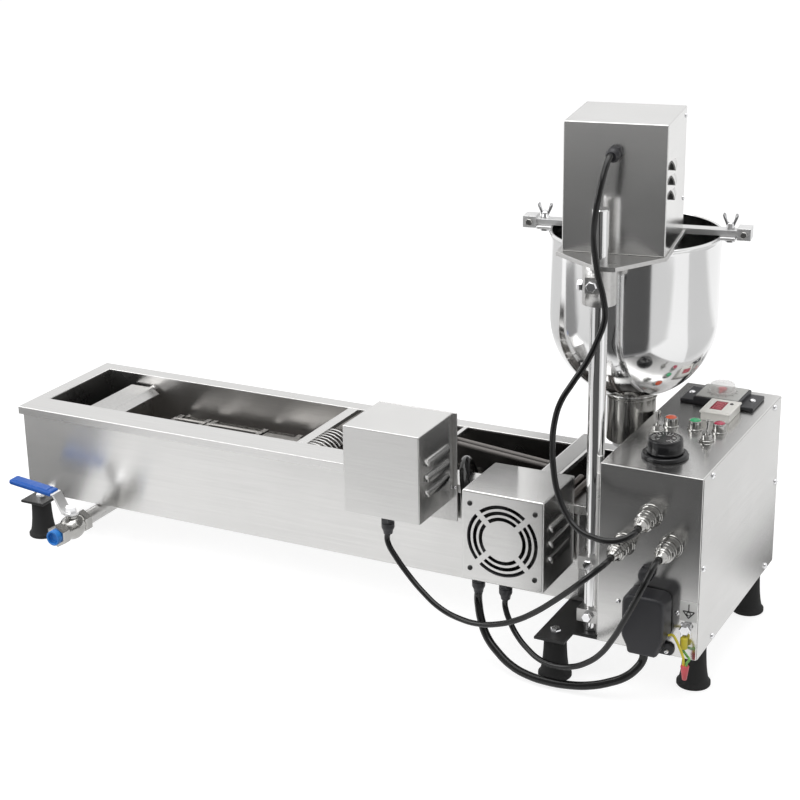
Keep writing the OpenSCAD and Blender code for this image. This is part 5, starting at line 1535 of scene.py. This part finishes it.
class FRYER_OT_panel(bpy.types.Operator):
    """Fit the knob, switches, lamps, counter and timer on the panel"""
    bl_idname = "fryer.panel_fittings"
    bl_label = "Panel fittings"

    def execute(self, context):
        self.knob()
        self.knob_marks()
        self.fittings()
        self.toggles()
        self.lamps()
        self.counter()
        self.timer()
        return {"FINISHED"}

    def knob(self):
        at = spot(*KNOB, PANEL_Z)
        flange = Shape().turned((
            (3.2, 0.05), (26.4, 0.05), (27, 0.8), (27, 2.6), (26, 4.2), (24.6, 5), (21.8, 5), (21.6, 4.2),
            (3.2, 4.2), (3.2, 0.05)), at, segments=72)
        flange.show("knob_flange", knob_black(), "thermostat_body")
        drum = Shape().turned((
            (0, 5.3), (20.4, 5.3), (21, 6), (21, 7.6), (20.5, 8.2), (20.3, 12), (20.0, 20.4), (19.5, 21.6),
            (18.6, 22.2), (17.6, 22.2), (17.2, 21.9), (0, 21.9)), at, segments=96)
        drum.show("knob_drum", knob_black(), "temperature_knob", body="temperature_knob")

    def knob_marks(self):
        """Marks and numbers on the knob's top."""
        tick = Shape().slab((12.6, -0.35, 0), (16.4, 0.35, 0.3), 0.1, 1, Matrix())
        middle = spot(*KNOB, PANEL_Z + 21.75)
        shape = Shape().join(in_ring("knob_marks", tick.mesh("tick"), 19, 15, white_mark(), -45, middle))
        first, step, reach = 225, 67.5, 0.0092
        for i, words in enumerate(("0", "60", "120", "180", "240")):
            a = math.radians(first - step * i)
            at = spot(*KNOB, PANEL_Z + 21.8) + Vector((math.cos(a), math.sin(a), 0)) * reach
            shape.join(self.number(words, at, a - math.pi / 2))
        shape.show("knob_marks", white_mark(), body="temperature_knob")

    def number(self, words, at, turn):
        """Raised number of a dial, as a mesh."""
        curve = bpy.data.curves.new("number", "FONT")
        curve.body = words
        curve.size = 0.0048
        curve.extrude = 0.00012
        curve.align_x = "CENTER"
        curve.align_y = "CENTER"
        mesh = plain_mesh(linked("number", curve))
        mesh.transform(Matrix.Translation(at) @ Matrix.Rotation(turn, 4, "Z"))
        return mesh

    def fittings(self):
        """Bushes of the switches, bezels of the lamps and the sockets on the near side."""
        base = Shape()
        thread = [(0, 3.8)]
        for i in range(6):
            thread += [(5.6, 3.9 + 0.9 * i), (5.9, 4.35 + 0.9 * i)]
        thread += [(5.6, 9.3), (5.0, 9.5), (3.55, 9.5), (3.55, 6), (0, 6)]
        for x, y in TOGGLES.values():
            at = spot(x, y, PANEL_Z)
            base.turned(stud(9, 1, 0.4, 0.3), at)
            base.turned(stud(7.6, 3.8, 0.6, 0.6, 1), at, segments=6, spin=0.3)
            base.turned(thread, at, segments=32)
        bezel = (
            (0, 0), (9.5, 0), (9.5, 1.2), (8.9, 1.9), (8, 2), (8, 9.6), (7.6, 10.7), (7.0, 11), (6.6, 10.6),
            (6.6, 8), (0, 8))
        for x, y in LAMPS:
            base.turned(bezel, spot(x, y, PANEL_Z))
        socket = (
            (0, 0), (14, 0), (14, 1.4), (13.4, 2), (12.4, 2), (12.4, 3), (11.6, 3.6), (11.6, 4.4), (12, 4.8),
            (12, 12), (0, 12))
        for x, z in PLUGS:
            base.turned(socket, spot(x, PANEL_Y, z), NEAR)
        base.show("chrome_fittings", nickel(), "panel_fittings")

    def toggles(self):
        lean = math.radians(12)
        for node, (x, y) in TOGGLES.items():
            bat = Shape().turned((
                (0, -3), (2.4, -2.4), (2.6, 0), (1.8, 2), (1.7, 4), (2.0, 9), (2.7, 14), (2.9, 16),
                (2.6, 17.4), (1.6, 18), (0, 18.1)),
                spot(x, y, PANEL_Z + 9), (0, math.sin(lean), math.cos(lean)), 32)
            bat.show(node + "_bat", nickel(), node, body=node)

    def lamps(self):
        """Lamp glasses; the first stands for the node of all three."""
        profile = ((0, 8.2), (6.5, 8.2), (6.5, 10.9), (6.1, 11.7), (4.6, 12.4), (2.4, 12.8), (0, 12.9))
        glasses = (
            ("lens_orange", (0.78, 0.10, 0.03), ["lamp_lenses"]), ("lens_green", (0.02, 0.42, 0.16), []),
            ("lens_red", (0.45, 0.012, 0.06), []))
        for (x, y), (name, colour, nodes) in zip(LAMPS, glasses):
            cap = Shape().turned(profile, spot(x, y, PANEL_Z), segments=40)
            cap.show(name, lens(name, colour), *nodes, sharp=ROUND_EDGE)

    def counter(self):
        case = Shape().slab((947, 104, PANEL_Z), (982, 150, 285.5), 1.2, 3)
        case.slab((945.5, 102.5, 284.6), (983.5, 151.5, 287.4), 1.2, 3)
        case.slab((948, 105, 287), (981, 149, 288), 0.8, 2)
        case.show("counter_case", ivory_plastic(), "counter_body", flat_faces=True)
        window = Shape().slab((955, 112, 287.6), (970, 142, 288.15), 0.3, 2)
        window.show("counter_window", display_red(), flat_faces=True)
        digits = Shape()
        left, right, stroke, foot, top = 957.6, 967.4, 0.9, 288.1, 288.22
        for y in (115.5 + 6.2 * i for i in range(4)):
            for x0, y0, x1, y1 in (
                    (left, 0, right, stroke), (left, 3.9, right, 4.8), (left, 0, left + stroke, 4.8),
                    (right - stroke, 0, right, 4.8)):
                digits.slab((x0, y + y0, foot), (x1, y + y1, top), 0)
        digits.show("counter_digits", digit_pink())
        button = Shape().turned(stud(2.2, 1.2, 0.4, 0.4), spot(975, 137, 287.6), segments=24)
        button.show("counter_button", black_plastic())

    def timer(self):
        """Flanged case, pale plate with marks, clear dome and the hand under it."""
        x, y = TIMER
        case = Shape()
        for low, high in ((-46, -24), (24, 46)):
            case.slab((x + low, y - 25, PANEL_Z), (x + high, y + 25, PANEL_Z + 5), 1.6, 3)
        case.slab((x - 29, y - 26, PANEL_Z), (x + 29, y + 26, PANEL_Z + 10), 1.4, 3)
        case.show("timer_case", black_plastic(), "timer_body", flat_faces=True)
        plate = Shape().slab((x - 26.5, y - 23.5, 284.4), (x + 26.5, y + 23.5, 286.4), 0.9, 3)
        plate.show("timer_plate", pale_plate(), flat_faces=True)
        tick = Shape().slab((16.4, -0.3, 0), (19.2, 0.3, 0.25), 0.08, 1, Matrix())
        marks = in_ring("timer_marks", tick.mesh("tick"), 12, 30, mark_black(), middle=spot(x, y, 286.3))
        shown("timer_marks", shaded(marks), mark_black())
        dome = Shape().turned((
            (0, 0.4), (16.6, 0.4), (16.8, 2.6), (16.2, 3.4), (15.6, 4), (15.2, 9), (14.4, 10.6),
            (12.8, 11.4), (0, 11.5)), spot(x, y, 286.8), segments=64)
        dome.show("timer_dome", clear_plastic(), "timer_dial", body="timer_dial")
        stem = ((0, -9), (2.5, -9), (2.5, 2), (5, 2.2), (5, 4.5), (0, 4.5))
        hand = Shape().turned(stem, spot(x, y, 287), segments=24)
        hand.slab((x - 1.2, y - 11, 288.2), (x + 1.2, y + 2, 290.4), 0.4, 2)
        hand.show("timer_hand", red_plastic(), body="timer_dial")


class FRYER_OT_sockets(bpy.types.Operator):
    """Fit the cable plugs, the fuse, the terminal cover and the earth point"""
    bl_idname = "fryer.sockets"
    bl_label = "Sockets and terminals"

    def execute(self, context):
        self.plugs()
        self.fuse()
        self.terminal_cover()
        self.earth_label()
        self.earth_wiring()
        return {"FINISHED"}

    def plugs(self):
        """Plugs with a ribbed ring, drawn at the sockets' width and then made narrower."""
        narrow = 0.86
        shape = Shape().turned((
            (0, 0), (12.4, 0), (13, 0.6), (13, 2.4), (12.2, 3), (12.2, 3.8), (13, 4.4), (13, 9.2),
            (12.2, 9.8), (12.2, 10.4), (12.8, 11), (12.8, 12.4), (11, 13.2), (10.6, 14.5), (10.9, 15),
            (10.9, 19), (10.2, 19.8), (9.4, 20.4), (9.4, 22), (9.0, 22.4), (8.4, 24), (7.4, 27),
            (6.2, 29.4), (5.4, 30), (0, 30)), segments=56)
        rib = Shape().slab((12.7, -0.5, 4.8), (13.15, 0.5, 8.8), 0.2, 1, Matrix())
        shape.join(in_ring("ribs", rib.mesh("rib"), 36, 10, nickel()))
        shape.bm.transform(Matrix.Diagonal((narrow, narrow, 1, 1)))
        places = [spot(x, PANEL_Y - 12, z) for x, z in PLUGS]
        on_points("cable_plugs", shape.mesh("plug"), places, [NEAR] * 3, nickel(), "connector_plugs")

    def fuse(self):
        at = spot(949, PANEL_Y, 151)
        shape = Shape().turned(stud(10, 3, 0.6, 0.6), at, NEAR, 6)
        cap = ((0, 3), (8, 3), (8, 8.4), (7.4, 9), (7.2, 12.6), (6.5, 13.6), (5.6, 14), (0, 14))
        shape.turned(cap, at, NEAR, 40)
        shape.show("fuse_cap", black_plastic(), "fuse_holder")

    def terminal_cover(self):
        """Deep hood with rounded shoulders on a foot with two ears."""
        hood = (
            (15, 61), (17.5, 63), (19, 70), (24, 80), (25, 84), (25, 124), (23.8, 129), (20.5, 132.5),
            (16, 134))
        ears = ((25, 54), (28, 56), (29, 61), (28, 66), (24, 69))
        panel = upright(spot(0, PANEL_Y, 0))
        shape = Shape().extruded(mirrored(hood, TERMINAL_X), 31.5, panel, 4.0, 4)
        shape.extruded(mirrored(ears, TERMINAL_X), 4.0, panel, 1.0, 3)
        shape.show("terminal_hood", black_plastic(), "terminal_cover", flat_faces=True)

    def earth_label(self):
        """Label with its sign: a triangle that points down, a stem over it and a ring in it."""
        label = Shape().slab((989.4, -74.6, 100), (1009, -73.9, 124.5), 0.15, 2)
        label.show("earth_label", label_white(), flat_faces=True)
        face = PANEL_Y - 0.6
        top, tip = (SIGN_X, 121.5), (SIGN_X, 104.2)
        left, middle, right = ((SIGN_X + x, 112.5) for x in (-6.7, 0, 6.7))
        sign = Shape()
        for ends in ((top, middle), (left, right), (left, tip), (right, tip)):
            sign.tube([spot(x, face, z) for x, z in ends], 0.65, 8)
        sign.tube([spot(x, face, z) for x, z in arc((SIGN_X, 109.6), 2.2, 0, 360, 16)], 0.5, 8)
        sign.show("earth_sign", mark_black())

    def earth_wiring(self):
        """Crimp on its tab, and the red cap that joins the wires."""
        crimp = ((0, 0), (4.2, 0), (4.4, 0.6), (4.4, 12.6), (3.4, 14), (0, 14))
        Shape().turned(crimp, spot(EARTH_X, -80, 68.5), segments=24).show("earth_crimp", yellow_wire())
        tab = Shape().slab((991, -76, 79), (1003, -74, 97), 0.6, 2)
        tab.slab((994.5, -81, 79), (999.5, -74, 82), 0.5, 2)
        tab.show("earth_tab", chrome(), flat_faces=True)
        cap = ((0, 0), (2, 0), (2.7, 0.8), (5, 17), (4.6, 18), (0, 18))
        Shape().turned(cap, spot(1003, -92, 35.5), segments=28).show("wire_sleeve", red_plastic(), "wire_cap")


class FRYER_PT_looks(bpy.types.Panel):
    """Sidebar page of the fryer"""
    bl_idname = "FRYER_PT_looks"
    bl_label = "Ring doughnut fryer"
    bl_space_type = "VIEW_3D"
    bl_region_type = "UI"
    bl_category = "Fryer"

    def draw(self, context):
        layout = self.layout
        for operator in OPERATORS:
            layout.operator(operator.bl_idname)
        for group in (context.scene.fryer_sizes, context.scene.fryer_colours):
            box = layout.box()
            for key in group.bl_rna.properties.keys():
                if key not in ("rna_type", "name"):
                    box.prop(group, key)


OPERATORS = (
    FRYER_OT_stage, FRYER_OT_cords, FRYER_OT_trough, FRYER_OT_conveyor, FRYER_OT_heater, FRYER_OT_rim_boxes,
    FRYER_OT_base, FRYER_OT_drain_valve, FRYER_OT_head, FRYER_OT_hopper, FRYER_OT_control_box, FRYER_OT_panel,
    FRYER_OT_sockets)
CLASSES = (FryerSizes, FryerColours) + OPERATORS + (FRYER_PT_looks,)


def register():
    for item in CLASSES:
        bpy.utils.register_class(item)
    bpy.types.Scene.fryer_sizes = PointerProperty(type=FryerSizes)
    bpy.types.Scene.fryer_colours = PointerProperty(type=FryerColours)


def unregister():
    del bpy.types.Scene.fryer_colours
    del bpy.types.Scene.fryer_sizes
    for item in reversed(CLASSES):
        bpy.utils.unregister_class(item)


def main():
    register()
    bpy.ops.fryer.stage()
    bpy.ops.fryer.cords()
    bpy.ops.fryer.trough()
    bpy.ops.fryer.conveyor()
    bpy.ops.fryer.heater()
    bpy.ops.fryer.rim_boxes()
    bpy.ops.fryer.base()
    bpy.ops.fryer.drain_valve()
    bpy.ops.fryer.head()
    bpy.ops.fryer.hopper()
    bpy.ops.fryer.control_box()
    bpy.ops.fryer.panel_fittings()
    bpy.ops.fryer.sockets()


if __name__ == "__main__":
    main()
